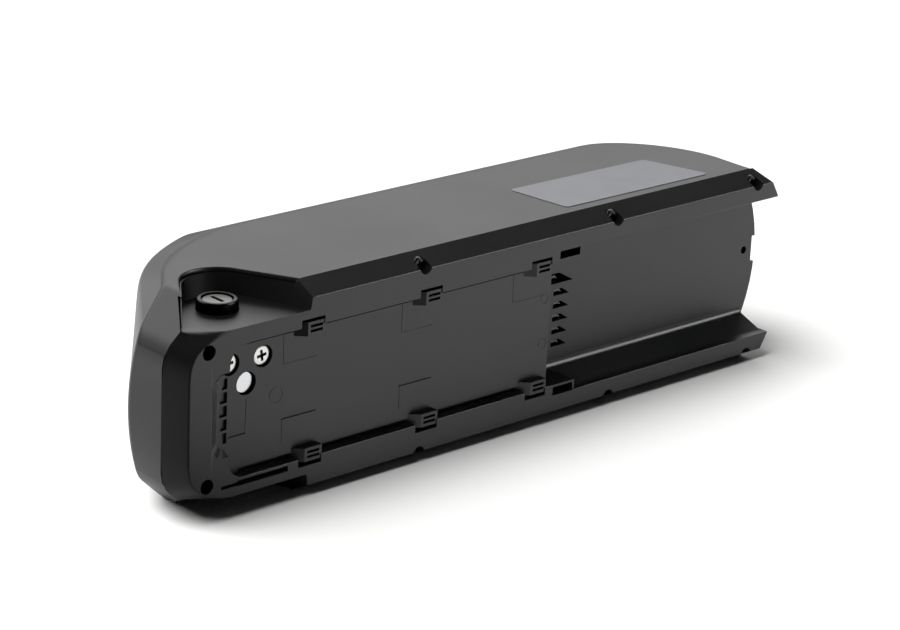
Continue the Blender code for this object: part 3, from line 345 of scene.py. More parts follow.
def silicone_sleeve(name, rgb):
    """Extruded silicone: soft, dull shine with dust in patches."""
    made, tree, shader, coords = start_material(name, rgb, 0.5, ior=1.43)
    vary(tree, shader, coords, rgb, 3 * MM, 0.12, 0.42, 0.56)
    return made


def sawn_foam(rgb):
    """Closed-cell foam, sawn from a block: cut cells of about 1 mm give a pitted face."""
    made, tree, shader, coords = start_material("sawn_polyethylene_foam", rgb, 0.95)
    vary(tree, shader, coords, rgb, 10 * MM, 0.1, 0.9, 1.0)
    cells = add(tree, "ShaderNodeTexVoronoi", {"Vector": coords, "Scale": 1 / MM}, feature="F1")
    add(
        tree, "ShaderNodeBump",
        {"Height": cells.outputs["Distance"], "Distance": 0.3 * MM, "Strength": 0.5},
        to=shader.inputs["Normal"],
    )
    return made


def plate_film(rgb):
    """Polyester film with a fine matt coat, left bare."""
    made, tree, shader, coords = start_material("matt_polyester_film", rgb, 0.42, ior=1.58)
    vary(tree, shader, coords, rgb, 25 * MM, 0.06, 0.38, 0.46)
    fine_relief(tree, shader, coords, 0.4 * MM, 2.0, 0.01 * MM, 0.15)
    return made


def finish_of(name):
    """The material for a finish, made once."""
    paint = bpy.context.scene.pack_colours
    found = FINISHES.get(name)
    axis = point(LOCK_X, LOCK_Y, 0.0)
    if found is None:
        makers = {
            "shell": lambda: moulded_abs(paint.shell),
            "fitting": lambda: filled_nylon(paint.fitting),
            "rubber": lambda: moulded_rubber(paint.rubber),
            "zinc": lambda: plated_steel("zinc_plated_steel", paint.zinc),
            "oxide": lambda: plated_steel("blackened_steel", paint.oxide),
            "chrome": lambda: plated_casting("chromed_zinc_casting", paint.chrome, axis, 0.22),
            "nickel": lambda: plated_casting("satin_nickel_casting", paint.plug, axis, 0.32),
            "black_chrome": lambda: plated_casting("black_chromed_casting", paint.ring, axis, 0.3),
            "tin": lambda: tinned_copper(paint.tin),
            "sleeve": lambda: cell_sleeve(paint.sleeve, paint.nickel, *SLEEVE),
            "holder": lambda: moulded_holder(paint.holder),
            "board": lambda: lacquered_board(paint.board),
            "red": lambda: silicone_sleeve("red_silicone_sleeve", paint.red),
            "black": lambda: silicone_sleeve("black_silicone_sleeve", paint.black),
            "foam": lambda: sawn_foam(paint.foam),
            "plate": lambda: plate_film(paint.plate),
        }
        found = FINISHES[name] = makers[name]()
    return found


# Mesh helpers, in the case's own frame

# Edges sharper than this stay sharp; faces nearer to flat than this become one
SHARP = math.radians(38)
FLAT = math.radians(0.05)
# Corners nearer than this are one: after a cut, in a copied node, and before a round
CUT_WELD = 1e-7
COPY_WELD = 1e-6
ROUND_WELD = 5e-6
# Thinnest end of a turned piece
TIP = 0.02 * MM


def point(x, y, z):
    """A point of the case's own frame in the row frame."""
    return Vector((x, y, z)) + ORIGIN


def raw(name, shape):
    """An object made from a bmesh, with its faces turned outwards."""
    bmesh.ops.recalc_face_normals(shape, faces=shape.faces)
    mesh = bpy.data.meshes.new(name)
    shape.to_mesh(mesh)
    shape.free()
    made = bpy.data.objects.new(name, mesh)
    bpy.context.scene.collection.objects.link(made)
    return made


def loft(name, rings):
    """A closed body through rings of equally many points."""
    shape = bmesh.new()
    rows = [[shape.verts.new(place) for place in ring] for ring in rings]
    count = len(rows[0])
    for low, high in zip(rows, rows[1:]):
        for i in range(count):
            j = (i + 1) % count
            shape.faces.new((low[i], low[j], high[j], high[i]))
    shape.faces.new(rows[0])
    shape.faces.new(rows[-1])
    return raw(name, shape)


def prism(outline, axis, low, high, name="tool"):
    """A straight body: the outline is (x, z) along Y, (x, y) along Z and (y, z) along X."""
    placed = {
        "X": lambda u, v, w: (w, u, v),
        "Y": lambda u, v, w: (u, w, v),
        "Z": lambda u, v, w: (u, v, w),
    }[axis]
    return loft(name, [[placed(u, v, w) for u, v in outline] for w in (low, high)])


def box(x, y, z):
    """A straight block between two places on each axis."""
    return prism([(x[0], y[0]), (x[1], y[0]), (x[1], y[1]), (x[0], y[1])], "Z", *z)


def circle(u, v, radius, sides):
    """Outline of a circle round a centre."""
    turns = [2 * math.pi / sides * i for i in range(sides)]
    return [(u + radius * math.cos(turn), v + radius * math.sin(turn)) for turn in turns]


def turned(name, centre, axis, profile, sides):
    """A solid of revolution: the profile is (radius, height) from one end to the other."""
    rings = []
    for radius, height in profile:
        ring = []
        for u, v in circle(0.0, 0.0, max(radius, TIP), sides):
            place = {"Y": (u, height, v), "Z": (u, v, height)}[axis]
            ring.append(Vector(place) + Vector(centre))
        rings.append(ring)
    return loft(name, rings)


def combine(body, tool, operation):
    """Cuts a tool from a body, or joins it to the body, and removes the tool."""
    step = body.modifiers.new(operation.lower(), "BOOLEAN")
    step.operation = operation
    step.solver = "EXACT"
    step.object = tool
    graph = bpy.context.evaluated_depsgraph_get()
    result = bpy.data.meshes.new_from_object(body.evaluated_get(graph))
    before = body.data
    body.modifiers.remove(step)
    body.data = result
    bpy.data.meshes.remove(before)
    mend(body)
    spent = tool.data
    bpy.data.objects.remove(tool)
    bpy.data.meshes.remove(spent)


def mend(body):
    """Closes the specks that a cut along nearly flush faces can leave open."""
    shape = bmesh.new()
    shape.from_mesh(body.data)
    bmesh.ops.remove_doubles(shape, verts=shape.verts, dist=CUT_WELD)
    gaps = [edge for edge in shape.edges if edge.is_boundary]
    if gaps:
        bmesh.ops.holes_fill(shape, edges=gaps, sides=0)
    shape.to_mesh(body.data)
    shape.free()


def cut(body, tool):
    """Cuts a tool from a body."""
    combine(body, tool, "DIFFERENCE")


def join(body, tool):
    """Joins a tool to a body."""
    combine(body, tool, "UNION")


def round_edges(body, width, least=30.0, segments=2):
    """Rounds the edges that are sharper than an angle in degrees."""
    shape = bmesh.new()
    shape.from_mesh(body.data)
    bmesh.ops.remove_doubles(shape, verts=shape.verts, dist=ROUND_WELD)
    bmesh.ops.dissolve_limit(
        shape, angle_limit=FLAT, verts=shape.verts, edges=shape.edges, delimit=set(),
    )
    limit = math.radians(least)
    edges = [e for e in shape.edges if e.is_manifold and e.calc_face_angle(0.0) > limit]
    if not edges:
        raise RuntimeError(f"{body.name} has no edge to round")
    bmesh.ops.bevel(
        shape, geom=edges, offset=width, offset_type="OFFSET", segments=segments, profile=0.5,
        affect="EDGES", clamp_overlap=True,
    )
    shape.to_mesh(body.data)
    shape.free()


def dress(body, ride, finish, slot, *nodes):
    """Moves a made piece to the row frame, smooths it, and lets it stand for its nodes."""
    body.data.transform(Matrix.Translation(ORIGIN))
    settle(body, ride, finish, slot, *nodes)


def settle(body, ride, finish, slot, *nodes):
    """Smooths a piece that is in the row frame, and lets it stand for its nodes."""
    body.data.materials.clear()
    body.data.materials.append(finish_of(finish))
    for face in body.data.polygons:
        face.use_smooth = True
    body.data.set_sharp_from_angle(angle=SHARP)
    normals = body.modifiers.new("weighted_normals", "WEIGHTED_NORMAL")
    normals.keep_sharp = True
    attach(body, ride)
    if nodes:
        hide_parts(*nodes)


def copied(node, name):
    """A new object with a copy of a node's mesh, its corners joined, in the row frame."""
    shape = bmesh.new()
    shape.from_mesh(NODES[node].data)
    bmesh.ops.remove_doubles(shape, verts=shape.verts, dist=COPY_WELD)
    made = raw(name, shape)
    for given in ("custom_normal", "sharp_face", "sharp_edge"):
        if given in made.data.attributes:
            made.data.attributes.remove(made.data.attributes[given])
    return made


def copied_home(node, name):
    """A copy of a node's mesh in the case's own frame."""
    made = copied(node, name)
    made.data.transform(Matrix.Translation(-ORIGIN))
    return made


def span(low, high, side):
    """A stretch of Z on one side of the middle plane."""
    return (low, high) if side > 0 else (-high, -low)


def arc_corner(before, corner, after, radius, steps):
    """Points of the arc that rounds one corner of an outline."""
    corner = Vector(corner)
    back = (Vector(before) - corner).normalized()
    ahead = (Vector(after) - corner).normalized()
    half = back.angle(ahead) / 2
    reach = radius / math.tan(half)
    centre = corner + (back + ahead).normalized() * (radius / math.sin(half))
    begin = corner + back * reach - centre
    end = corner + ahead * reach - centre
    turn = math.atan2(begin.x * end.y - begin.y * end.x, begin.dot(end))
    places = []
    for i in range(steps + 1):
        part = turn * i / steps
        x = begin.x * math.cos(part) - begin.y * math.sin(part)
        y = begin.x * math.sin(part) + begin.y * math.cos(part)
        places.append((centre.x + x, centre.y + y))
    return places


def rounded(corners, radii, steps):
    """An outline with each corner rounded; a radius of zero keeps the corner."""
    outline = []
    for i, corner in enumerate(corners):
        if radii[i] == 0.0:
            outline.append(corner)
        else:
            after = corners[(i + 1) % len(corners)]
            outline += arc_corner(corners[i - 1], corner, after, radii[i], steps)
    return outline


# Main moulding

SEAM_DEPTH = 10 * MM
NOSE_SEAM_X = 2 * MM
NOSE_SEAM_CORNER = 13 * MM
NOSE_SEAM_RISE = 23.5 * MM
NOSE_CORNER_Y = 28.8 * MM
NOSE_SLOPE = math.radians(50.8)
NOSE_ROUND_SHARE = 0.33
NOSE_CORNER_RADIUS = 4 * MM
NOSE_BOW_RADIUS = 95 * MM
NOSE_BOW_REACH = 60 * MM
TAIL_RADIUS = 36 * MM
TAIL_BOW_RADIUS = 71 * MM
TAIL_BOW_REACH = 86 * MM
OUTER_BEVEL = 11 * MM
OUTER_BEVEL_DROP = 4.6 * MM
NOSE_BEVEL_DROP = 14.5 * MM
FLANK_NOSE_X = 22.2 * MM
FLANK_NOSE_Y = 35.7 * MM
FLANK_NOSE_SLOPE = math.radians(54.2)
FLANK_NOSE_ROUND_SHARE = 0.87
FLANK_TAIL_RADIUS = 50 * MM
RECESS_FLOOR = 35 * MM
RECESS_NOSE = 11.5 * MM
RECESS_NOSE_LEAN = math.radians(36.9)
RECESS_TAIL = 68.6 * MM
RECESS_TAIL_LEAN = math.radians(27.8)
RECESS_ROUND = 15 * MM
RECESS_STEPS = 24
TUB_WALL = 2.2 * MM
TUB_FIT = 0.03 * MM
# On the nose the skin itself is the recess's wall, up to here and blended over this length
NOSE_WALL_END = 24 * MM
NOSE_WALL_BLEND = 4 * MM
LIP_DEPTH = 1.5 * MM
LIP_OVERHANG = 0.4 * MM
RIM_STEPS = 6
DEEP_HALF = 32.5 * MM
BAY_BACK = 20.5 * MM
NOSE_STEPS = 6
SLOPE_STEPS = 24
TAIL_STEPS = 18
# Edges of a shell, the foam and the plate are rounded from this angle in degrees
SHELL_EDGE = 40.0
# Heights of the rings, as shares of the way from the middle plane to the bevel
LEVELS = (1.0, 0.86, 0.72, 0.58, 0.44, 0.3, 0.15, 0.0)
ROUND_STEPS = 5
# The bevel's two rounds each take at most this share of its width
ROUND_LIMIT = 0.45
# The bevel's drop has eased by this share where the nose slope begins
BEVEL_LEAD = 0.1


def eased(share):
    """The share with a soft start and end, held between zero and one."""
    share = min(max(share, 0.0), 1.0)
    return share * share * (3 - 2 * share)


def bowed(x, y, z):
    """A point of the case, drawn back with the bow of the tail."""
    share = eased((x - CASE_LENGTH + TAIL_BOW_REACH) / TAIL_BOW_REACH)
    back = TAIL_BOW_RADIUS - math.sqrt(TAIL_BOW_RADIUS**2 - z**2)
    return (x - back * share, y, z)


def nose_bowed(x, y, z):
    """A point of the middle of the case, drawn back with the bow of the nose too."""
    share = eased((NOSE_BOW_REACH - x) / NOSE_BOW_REACH)
    back = NOSE_BOW_RADIUS - math.sqrt(NOSE_BOW_RADIUS**2 - z**2)
    return bowed(x + back * share, y, z)


def seam_x(z):
    """Where the nose wall meets the seam at a height: flat, with round corners."""
    past = max(abs(z) - (HALF - NOSE_SEAM_RISE), 0.0)
    return NOSE_SEAM_X + NOSE_SEAM_CORNER - math.sqrt(NOSE_SEAM_CORNER**2 - past**2)


def flank_outline(first, nose, slope, top, share, tail_x, tail_radius):
    """Nose wall, nose slope, outer edge and tail wall seen square on to the flank."""
    run = (top - nose[1]) / math.sin(slope)
    high = (nose[0] + run * math.cos(slope), top)
    corner = (tail_x, top)
    last = (tail_x, first[1])
    outline = [first]
    outline += arc_corner(first, nose, high, NOSE_CORNER_RADIUS, NOSE_STEPS)
    outline += arc_corner(nose, high, corner, share * run / math.tan(slope / 2), SLOPE_STEPS)
    outline += arc_corner(high, corner, last, tail_radius, TAIL_STEPS)
    outline.append(last)
    return outline


def lowered(y, slope, inset):
    """The corner between the nose wall and the slope, for a surface further in."""
    return y - inset * (1 - math.sin(slope)) / math.cos(slope)


def case_rings(inset, start, flank_round=0.0, bevel_round=0.0):
    """Rings of the main moulding's outer or inner surface, from one flank to the other."""
    tail_x = CASE_LENGTH - inset
    middle = flank_outline(
        (NOSE_SEAM_X + inset, start), (inset, lowered(NOSE_CORNER_Y, NOSE_SLOPE, inset)),
        NOSE_SLOPE, CASE_DEPTH - inset, NOSE_ROUND_SHARE, tail_x, TAIL_RADIUS - inset,
    )
    nose = (FLANK_NOSE_X + inset, lowered(FLANK_NOSE_Y, FLANK_NOSE_SLOPE, inset))
    flank = flank_outline(
        (nose[0], start), nose, FLANK_NOSE_SLOPE, CASE_DEPTH - OUTER_BEVEL - inset,
        FLANK_NOSE_ROUND_SHARE, tail_x, FLANK_TAIL_RADIUS - inset,
    )
    drops = []
    for i in range(len(middle)):
        share = min(max((i - NOSE_STEPS - 2) / SLOPE_STEPS + BEVEL_LEAD, 0.0), 1.0)
        drops.append(NOSE_BEVEL_DROP + (OUTER_BEVEL_DROP - NOSE_BEVEL_DROP) * share)
    height = HALF - inset
    rows = []
    for share in LEVELS:
        ring = []
        for (x, y), drop in zip(middle, drops):
            ring.append(Vector(nose_bowed(x, y, (height - drop) * share)))
        level = (height - NOSE_BEVEL_DROP) * share
        ring[0] = Vector((seam_x(level) + inset, start, level))
        rows.append(ring)
    edge = [Vector(bowed(x, y, height)) for x, y in flank]
    if flank_round:
        inward = [flank_inward(edge, i) for i in range(len(edge))]
        tops = rows[0]
        reach = [ROUND_LIMIT * (top - place).length for top, place in zip(tops, edge)]
        first = soft_rings(
            edge, inward, [(top - place).normalized() for top, place in zip(tops, edge)],
            [min(flank_round, most) for most in reach],
        )
        second = soft_rings(
            tops, [(place - top).normalized() for top, place in zip(tops, edge)],
            [(below - top).normalized() for top, below in zip(tops, rows[1])],
            [min(bevel_round, most) for most in reach],
        )
        upper = first + second + rows[1:]
    else:
        upper = [edge] + rows
    mirrored = [[Vector((p.x, p.y, -p.z)) for p in ring] for ring in reversed(upper[:-1])]
    return upper + mirrored


def flank_inward(edge, i):
    """Direction from a point of the flank's edge into the flank, square to the edge."""
    along = edge[min(i + 1, len(edge) - 1)] - edge[max(i - 1, 0)]
    if i in (0, len(edge) - 1):
        return Vector((1.0 if i == 0 else -1.0, 0.0, 0.0))
    return Vector((along.y, -along.x, 0.0)).normalized()


def soft_rings(corners, before, after, reaches):
    """Rings that round a ring of corners, each between its two directions."""
    rings = []
    for k in range(ROUND_STEPS + 1):
        t = k / ROUND_STEPS
        ring = []
        for corner, back, ahead, reach in zip(corners, before, after, reaches):
            ring.append(corner + back * (reach * (1 - t) ** 2) + ahead * (reach * t**2))
        rings.append(ring)
    return rings


def recess_outline(extra, start):
    """Plan of the recess that holds the lock, or the charge socket, seen on the flank."""
    nose_lean = math.tan(RECESS_NOSE_LEAN)
    tail_lean = math.tan(RECESS_TAIL_LEAN)
    nose = RECESS_NOSE - extra / math.cos(RECESS_NOSE_LEAN)
    tail = RECESS_TAIL + extra / math.cos(RECESS_TAIL_LEAN)
    rise = start - SEAM_DEPTH
    peak = (tail - nose) / (nose_lean + tail_lean)
    corners = [
        (nose + rise * nose_lean, start),
        (nose + peak * nose_lean, SEAM_DEPTH + peak),
        (tail - rise * tail_lean, start),
    ]
    return rounded(corners, [0.0, RECESS_ROUND + extra, 0.0], RECESS_STEPS)


def recess_tool(side, wall, lip):
    """The opening for a recess, flared at the flank so that its rim is round."""
    tub = TUB_WALL + TUB_FIT
    levels = [(z, tub) for z in (RECESS_FLOOR - wall - GAP, RECESS_FLOOR, HALF - LIP_DEPTH)]
    levels.append((HALF - LIP_DEPTH + SINK, LIP_OVERHANG))
    for i in range(RIM_STEPS + 1):
        turn = math.pi / 2 * i / RIM_STEPS
        flare = lip * (1 - math.cos(turn))
        levels.append((HALF - lip + lip * math.sin(turn), LIP_OVERHANG + flare))
    levels.append((HALF + OVERRUN, LIP_OVERHANG + lip))
    start = SEAM_DEPTH - OVERRUN
    narrow = recess_outline(LIP_OVERHANG, start)
    rings = []
    for z, reach in levels:
        ring = []
        for (x, y), (far_x, far_y) in zip(narrow, recess_outline(reach, start)):
            share = min(1.0, max(0.0, (x - NOSE_WALL_END) / NOSE_WALL_BLEND))
            ring.append((x + (far_x - x) * share, y + (far_y - y) * share, side * z))
        rings.append(ring)
    return loft("tool", rings)


class PACK_OT_main_shell(bpy.types.Operator):
    """Make the main moulding: a smooth bowed shell with both recess openings"""

    bl_idname = "pack.main_shell"
    bl_label = "Main Shell"

    def execute(self, context):
        sizes = context.scene.pack_sizes
        rings = case_rings(0.0, SEAM_DEPTH, sizes.flank_round, sizes.bevel_round)
        body = loft("main_shell_moulding", rings)
        cut(body, loft("tool", case_rings(sizes.wall, SEAM_DEPTH - OVERRUN)))
        for side in (1, -1):
            cut(body, recess_tool(side, sizes.wall, sizes.rim_round))
        bay = DEEP_HALF + sizes.wall + GAP
        x = (CASE_LENGTH - TAIL_BOW_REACH / 2, CASE_LENGTH + OVERRUN)
        cut(body, box(x, (SEAM_DEPTH - OVERRUN, BAY_BACK + GAP), (-bay, bay)))
        round_edges(body, sizes.edge_round, SHELL_EDGE)
        dress(body, "case", "shell", "shell_plastic", "main_shell")
        return {"FINISHED"}


# Base moulding

# Upper half of the nose's outline in mm, as (x, z): at the mounting face, then at the seam
FACE_CURVE = (
    (7.7, 0.0), (7.8, 14.0), (8.0, 19.5), (9.2, 24.6), (12.2, 28.8), (17.3, 31.7), (24.2, 34.2),
    (33.0, 35.6),
)
SEAM_CURVE = (
    (1.9, 0.0), (1.95, 13.0), (2.2, 20.0), (3.2, 26.2), (5.4, 30.4), (9.7, 34.2), (18.0, 40.5),
    (33.0, 44.9),
)
CURVE_STEPS = 8
BASE_TOP = SEAM_DEPTH - GAP
RIM_WIDTH = 3.2 * MM
# The solid's own faceted skin is cut off round the nose, to this far past the seam's outline
SKIN_REACH = 6 * MM
# The cut starts above the face, and leaves out this many points at both ends of the outline
SKIN_START = -0.1
SKIN_ENDS = 5
EDGE_STEPS = 5
# Rings of the rim between its rounded edge and the seam
RIM_SHARES = (0.35, 0.65)
RECESS_PLAN_START = -3 * MM
CORNER_SCREW = (17 * MM, 28 * MM)
CORNER_HOLE = (-2 * MM, 6.5 * MM)
HOLE_SIDES = 40
FACE_HALF = 40 * MM
HOOK_HALF = 27.8 * MM
DEEP_BAY = (205 * MM, 344.5 * MM)
DEEP_FLOOR = 18 * MM
LEDGE_FRONT = 5 * MM
LEDGE_TOP = 27.3 * MM
LEDGE_ROUND = 3.2 * MM
LEDGE_RISE = 0.8 * LEDGE_ROUND
LEDGE_ROOT = 0.5 * MM
LEDGE_STEPS = 10
# Trough of the vent in mm, above the face and at its floor: depth, nose side, tail side and
# half height
VENT_RINGS = ((-0.5, 18.4, 27.6, 18.0), (3.75, 24.2, 27.6, 15.4))
VENT_ROUND = (6.5 * MM, 3.4 * MM)
VENT_STEPS = 8
# Joints of the tool's inserts, as lines of (x, z) in mm on the floor of the hook bay
SCORES = (
    ((39.2, 3.0), (38.6, -11.7), (30.6, -11.8)),
    ((57.6, 25.6), (57.6, 13.3), (75.0, 13.2)),
    ((120.2, 25.4), (120.2, 13.3), (137.5, 13.2)),
    ((183.0, 25.4), (183.0, 13.3), (200.0, 13.2)),
    ((57.5, -20.0), (57.6, -10.2), (75.0, -10.3)),
    ((120.2, -20.0), (120.2, -10.2), (137.5, -10.3)),
)
EJECTORS = ((54.2, 1.0, 3.4), (202.0, 11.3, 2.2), (202.0, -9.2, 2.2))
SCORE = 0.24 * MM
SCORE_DEPTH = 0.6 * SCORE
HOOK_FLOOR = 4 * MM
# Where the rounded long edges begin: beside a recess, behind the vent, behind the contacts
BEVEL_START = 70 * MM
HOOK_START = 37 * MM
DEEP_START = DEEP_BAY[0] + 18 * MM
LONG_STEPS = 6
# The front lip of a recess runs over these shares of the rim, and is rounded in this many steps
LIP_SHARES = (0.06, 1.1)
LIP_STEPS = 8
# The lip's round takes at most this share of the rim below it
LIP_LIMIT = 0.8
# Blocks that trim the recess tubs: over all of them, and over the skin at the nose
TUB_X = (0.0, RECESS_TAIL + 8 * MM)
TUB_Y = (SEAM_DEPTH + 0.2 * MM, 60 * MM)
SKIN_X = (0.0, NOSE_WALL_END + 5 * MM)
SKIN_Z = (24 * MM, HALF + 3 * MM)
SKIN_FIT = 0.05 * MM
OPENING_Z = (20 * MM, HALF + 5 * MM)
OPENING_START = SEAM_DEPTH - 6 * MM


class PACK_OT_base_shell(bpy.types.Operator):
    """Make the base moulding: the solid with a smooth nose rim and rounded edges"""

    bl_idname = "pack.base_shell"
    bl_label = "Base Shell"

    def execute(self, context):
        sizes = context.scene.pack_sizes
        body = copied_home("base_shell", "base_shell_moulding")
        low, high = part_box("case_screw_1")
        smooth_nose(body, sizes)
        radius = (high.x - low.x) / 2 + GAP
        for side in (1, -1):
            plan = circle(CORNER_SCREW[0], side * CORNER_SCREW[1], radius, HOLE_SIDES)
            cut(body, prism(plan, "Y", *CORNER_HOLE))
        cut(body, vent_tool())
        trim_tubs(body, sizes.wall)
        fill_bay_corners(body)
        round_long_edges(body, sizes.edge_round)
        score_lines(body)
        dress(body, "case", "shell", "shell_plastic", "base_shell")
        return {"FINISHED"}


def smooth_curve(corners):
    """Points of a smooth curve through the corners, and on through their mirror image."""
    half = [Vector((x, z)) * MM for x, z in corners]
    lower = [Vector((p.x, -p.y)) for p in half[:0:-1]]
    path = lower + half
    places = []
    for i in range(len(path) - 1):
        before = path[max(i - 1, 0)]
        start, end = path[i], path[i + 1]
        after = path[min(i + 2, len(path) - 1)]
        bend = 2 * before - 5 * start + 4 * end - after
        twist = 3 * start - before - 3 * end + after
        for k in range(CURVE_STEPS):
            t = k / CURVE_STEPS
            places.append(0.5 * (2 * start + (end - before) * t + bend * t**2 + twist * t**3))
    places.append(path[-1])
    return places


def offset_curve(path, reach):
    """The curve moved to its inner side, the side of the tail."""
    places = []
    for i, place in enumerate(path):
        along = (path[min(i + 1, len(path) - 1)] - path[max(i - 1, 0)]).normalized()
        places.append(place + Vector((along.y, -along.x)) * reach)
    return places


def between(face, seam, share):
    """The outline at a share of the way from the mounting face to the seam."""
    return [f + (s - f) * share for f, s in zip(face, seam)]


def smooth_nose(body, sizes):
    """Puts a smooth rim round the nose, from the face to the seam, open at both recesses."""
    face = smooth_curve(FACE_CURVE)
    seam = smooth_curve(SEAM_CURVE)
    inner = offset_curve(face, RIM_WIDTH)
    edge = sizes.face_round
    skin = []
    inside = slice(SKIN_ENDS, -SKIN_ENDS)
    for share in (SKIN_START, 1.0 + SINK / BASE_TOP):
        kept = offset_curve(between(face, seam, share), RIM_WIDTH / 3)
        far = offset_curve(seam, -SKIN_REACH)
        skin.append(rim_ring(far[inside], kept[inside], BASE_TOP * share))
    cut(body, loft("skin", skin))
    rings = []
    for i in range(EDGE_STEPS + 1):
        turn = math.pi / 2 * i / EDGE_STEPS
        depth = SINK + edge * (1 - math.cos(turn))
        share = depth / BASE_TOP
        outer = offset_curve(face, edge * (1 - math.sin(turn)))
        moved = [a + (s - f) * share for a, f, s in zip(outer, face, seam)]
        rings.append(rim_ring(moved, inner, depth))
    for share in (*RIM_SHARES, 1.0 + 2 * SINK / BASE_TOP):
        rings.append(rim_ring(between(face, seam, share), inner, BASE_TOP * share))
    rim = loft("rim", rings)
    for side in (1, -1):
        plan = recess_outline(0.0, RECESS_PLAN_START)
        cut(rim, prism(plan, "Z", *span(RECESS_FLOOR - 2 * SINK, HALF + OVERRUN, side)))
    join(body, rim)
    for side in (1, -1):
        cut(body, lip_tool(face, seam, side, sizes.lip_round))


def rim_ring(outer, inner, depth):
    """One closed ring of the rim at a depth: out along one curve, back along the other."""
    return [(p.x, depth, p.y) for p in outer] + [(p.x, depth, p.y) for p in reversed(inner)]


def lip_tool(face, seam, side, reach):
    """Rounds the front lip of a recess: a rod with one hollow side, swept along the lip."""
    lip = []
    for f, s in zip(face, seam):
        low, high = f.y * side, s.y * side
        share = (RECESS_FLOOR - low) / (high - low) if high > low else 0.0
        if LIP_SHARES[0] < share < LIP_SHARES[1]:
            place = f + (s - f) * share
            lip.append((Vector((place.x, BASE_TOP * share, place.y)), Vector((f.x, 0.0, f.y))))
    if side < 0:
        lip.reverse()
    up = Vector((0.0, 0.0, side))
    rings = []
    for i, (place, foot) in enumerate(lip):
        along = (lip[min(i + 1, len(lip) - 1)][0] - lip[max(i - 1, 0)][0]).normalized()
        across = along.cross(up)
        across = across if across.y > 0 else -across
        down = (foot - place).normalized()
        out = down.cross(along).normalized()
        out = out if out.y < 0 else -out
        width = min(reach, LIP_LIMIT * (foot - place).length)
        ring = []
        for k in range(LIP_STEPS + 1):
            t = k / LIP_STEPS
            lift = (up * (1 - t) + out * t) * SINK
            ring.append(place + across * (width * (1 - t) ** 2) + down * (width * t**2) + lift)
        ring.append(place + down * width + out * MM)
        ring.append(place + out * MM + up * MM)
        ring.append(place + across * width + up * MM)
        rings.append(ring)
    return loft("lip", rings)


def vent_tool():
    """The vent's trough: straight on the nose side, rounded at both ends, sloping to its floor."""
    rings = []
    for (depth, nose, tail, half), radius in zip(VENT_RINGS, VENT_ROUND):
        nose, tail, half = nose * MM, tail * MM, half * MM
        corners = [(tail, half), (nose, half), (nose, -half), (tail, -half)]
        plan = rounded(corners, (0.0, radius, radius, 0.0), VENT_STEPS)
        rings.append([(x, depth * MM, z) for x, z in plan])
    return loft("vent", rings)


def fill_bay_corners(body):
    """Sloping ledges where the deep bay's floor runs into its two sides, rounded above."""
    foot = (LEDGE_FRONT, DEEP_HALF + SINK)
    corner = (DEEP_FLOOR + SINK, LEDGE_TOP)
    top = (DEEP_FLOOR + SINK, LEDGE_TOP - LEDGE_RISE)
    behind = (DEEP_FLOOR + LEDGE_ROOT, DEEP_HALF + LEDGE_ROOT)
    arc = arc_corner(foot, corner, top, LEDGE_ROUND, LEDGE_STEPS)
    section = [foot, *arc, (behind[0], top[1]), behind]
    for side in (1, -1):
        join(body, prism([(y, side * z) for y, z in section], "X", *DEEP_BAY))


def round_long_edges(body, width):
    """Rounds the long edges of the mounting face: at both bevels and along both bays."""
    bevel = Vector((BASE_TOP, HALF - FACE_HALF)).normalized()
    for side in (1, -1):
        edges = (
            (FACE_HALF, -1, bevel, BEVEL_START, CASE_LENGTH),
            (HOOK_HALF, 1, Vector((1.0, 0.0)), HOOK_START, DEEP_BAY[0]),
            (DEEP_HALF, 1, Vector((1.0, 0.0)), DEEP_START, CASE_LENGTH),
        )
        for place, way, other, start, end in edges:
            face = Vector((0.0, way))
            away = -(face + other).normalized() * MM
            steps = [k / LONG_STEPS for k in range(LONG_STEPS + 1)]
            arc = [face * (width * (1 - t) ** 2) + other * (width * t**2) for t in steps]
            arc += [other * width + away, away * 1.5, face * width + away]
            section = [(y, side * (place + z)) for y, z in arc]
            cut(body, prism(section, "X", start, end))


def score_lines(body):
    """The fine joints that the tool's inserts and ejector pins leave in the panel."""
    depth = (HOOK_FLOOR - 0.5 * MM, HOOK_FLOOR + SCORE_DEPTH)
    for line in SCORES:
        for begin, end in zip(line, line[1:]):
            begin, end = Vector(begin) * MM, Vector(end) * MM
            along = (end - begin).normalized() * SCORE / 2
            across = Vector((-along.y, along.x))
            begin, end = begin - along, end + along
            plan = [begin - across, end - across, end + across, begin + across]
            cut(body, prism(plan, "Y", *depth))
    for x, z, radius in EJECTORS:
        x, z, radius = x * MM, z * MM, radius * MM
        pin = prism(circle(x, z, radius, HOLE_SIDES), "Y", *depth)
        core = circle(x, z, radius - SCORE, HOLE_SIDES)
        cut(pin, prism(core, "Y", depth[0] - MM, depth[1] + MM))
        cut(body, pin)


def trim_tubs(body, wall):
    """Fits both recess tubs under the main moulding's lip, and inside its skin at the nose."""
    for side in (1, -1):
        top = span(HALF - LIP_DEPTH - GAP, HALF + OVERRUN, side)
        cut(body, box(TUB_X, TUB_Y, top))
        skin = box(SKIN_X, TUB_Y, span(*SKIN_Z, side))
        cut(skin, loft("tool", case_rings(wall + SKIN_FIT, SEAM_DEPTH - OVERRUN)))
        plan = recess_outline(LIP_OVERHANG - TUB_FIT, OPENING_START)
        cut(skin, loft("tool", [[(x, y, side * z) for x, y in plan] for z in OPENING_Z]))
        cut(body, skin)


# Screws

SCREW_SIDES = 48
# Head radius, head height and shank radius
CASE_SCREW = (2.7 * MM, 2.2 * MM, 1.4 * MM)
LOCK_SCREW = (4.1 * MM, 1.3 * MM, 1.6 * MM)
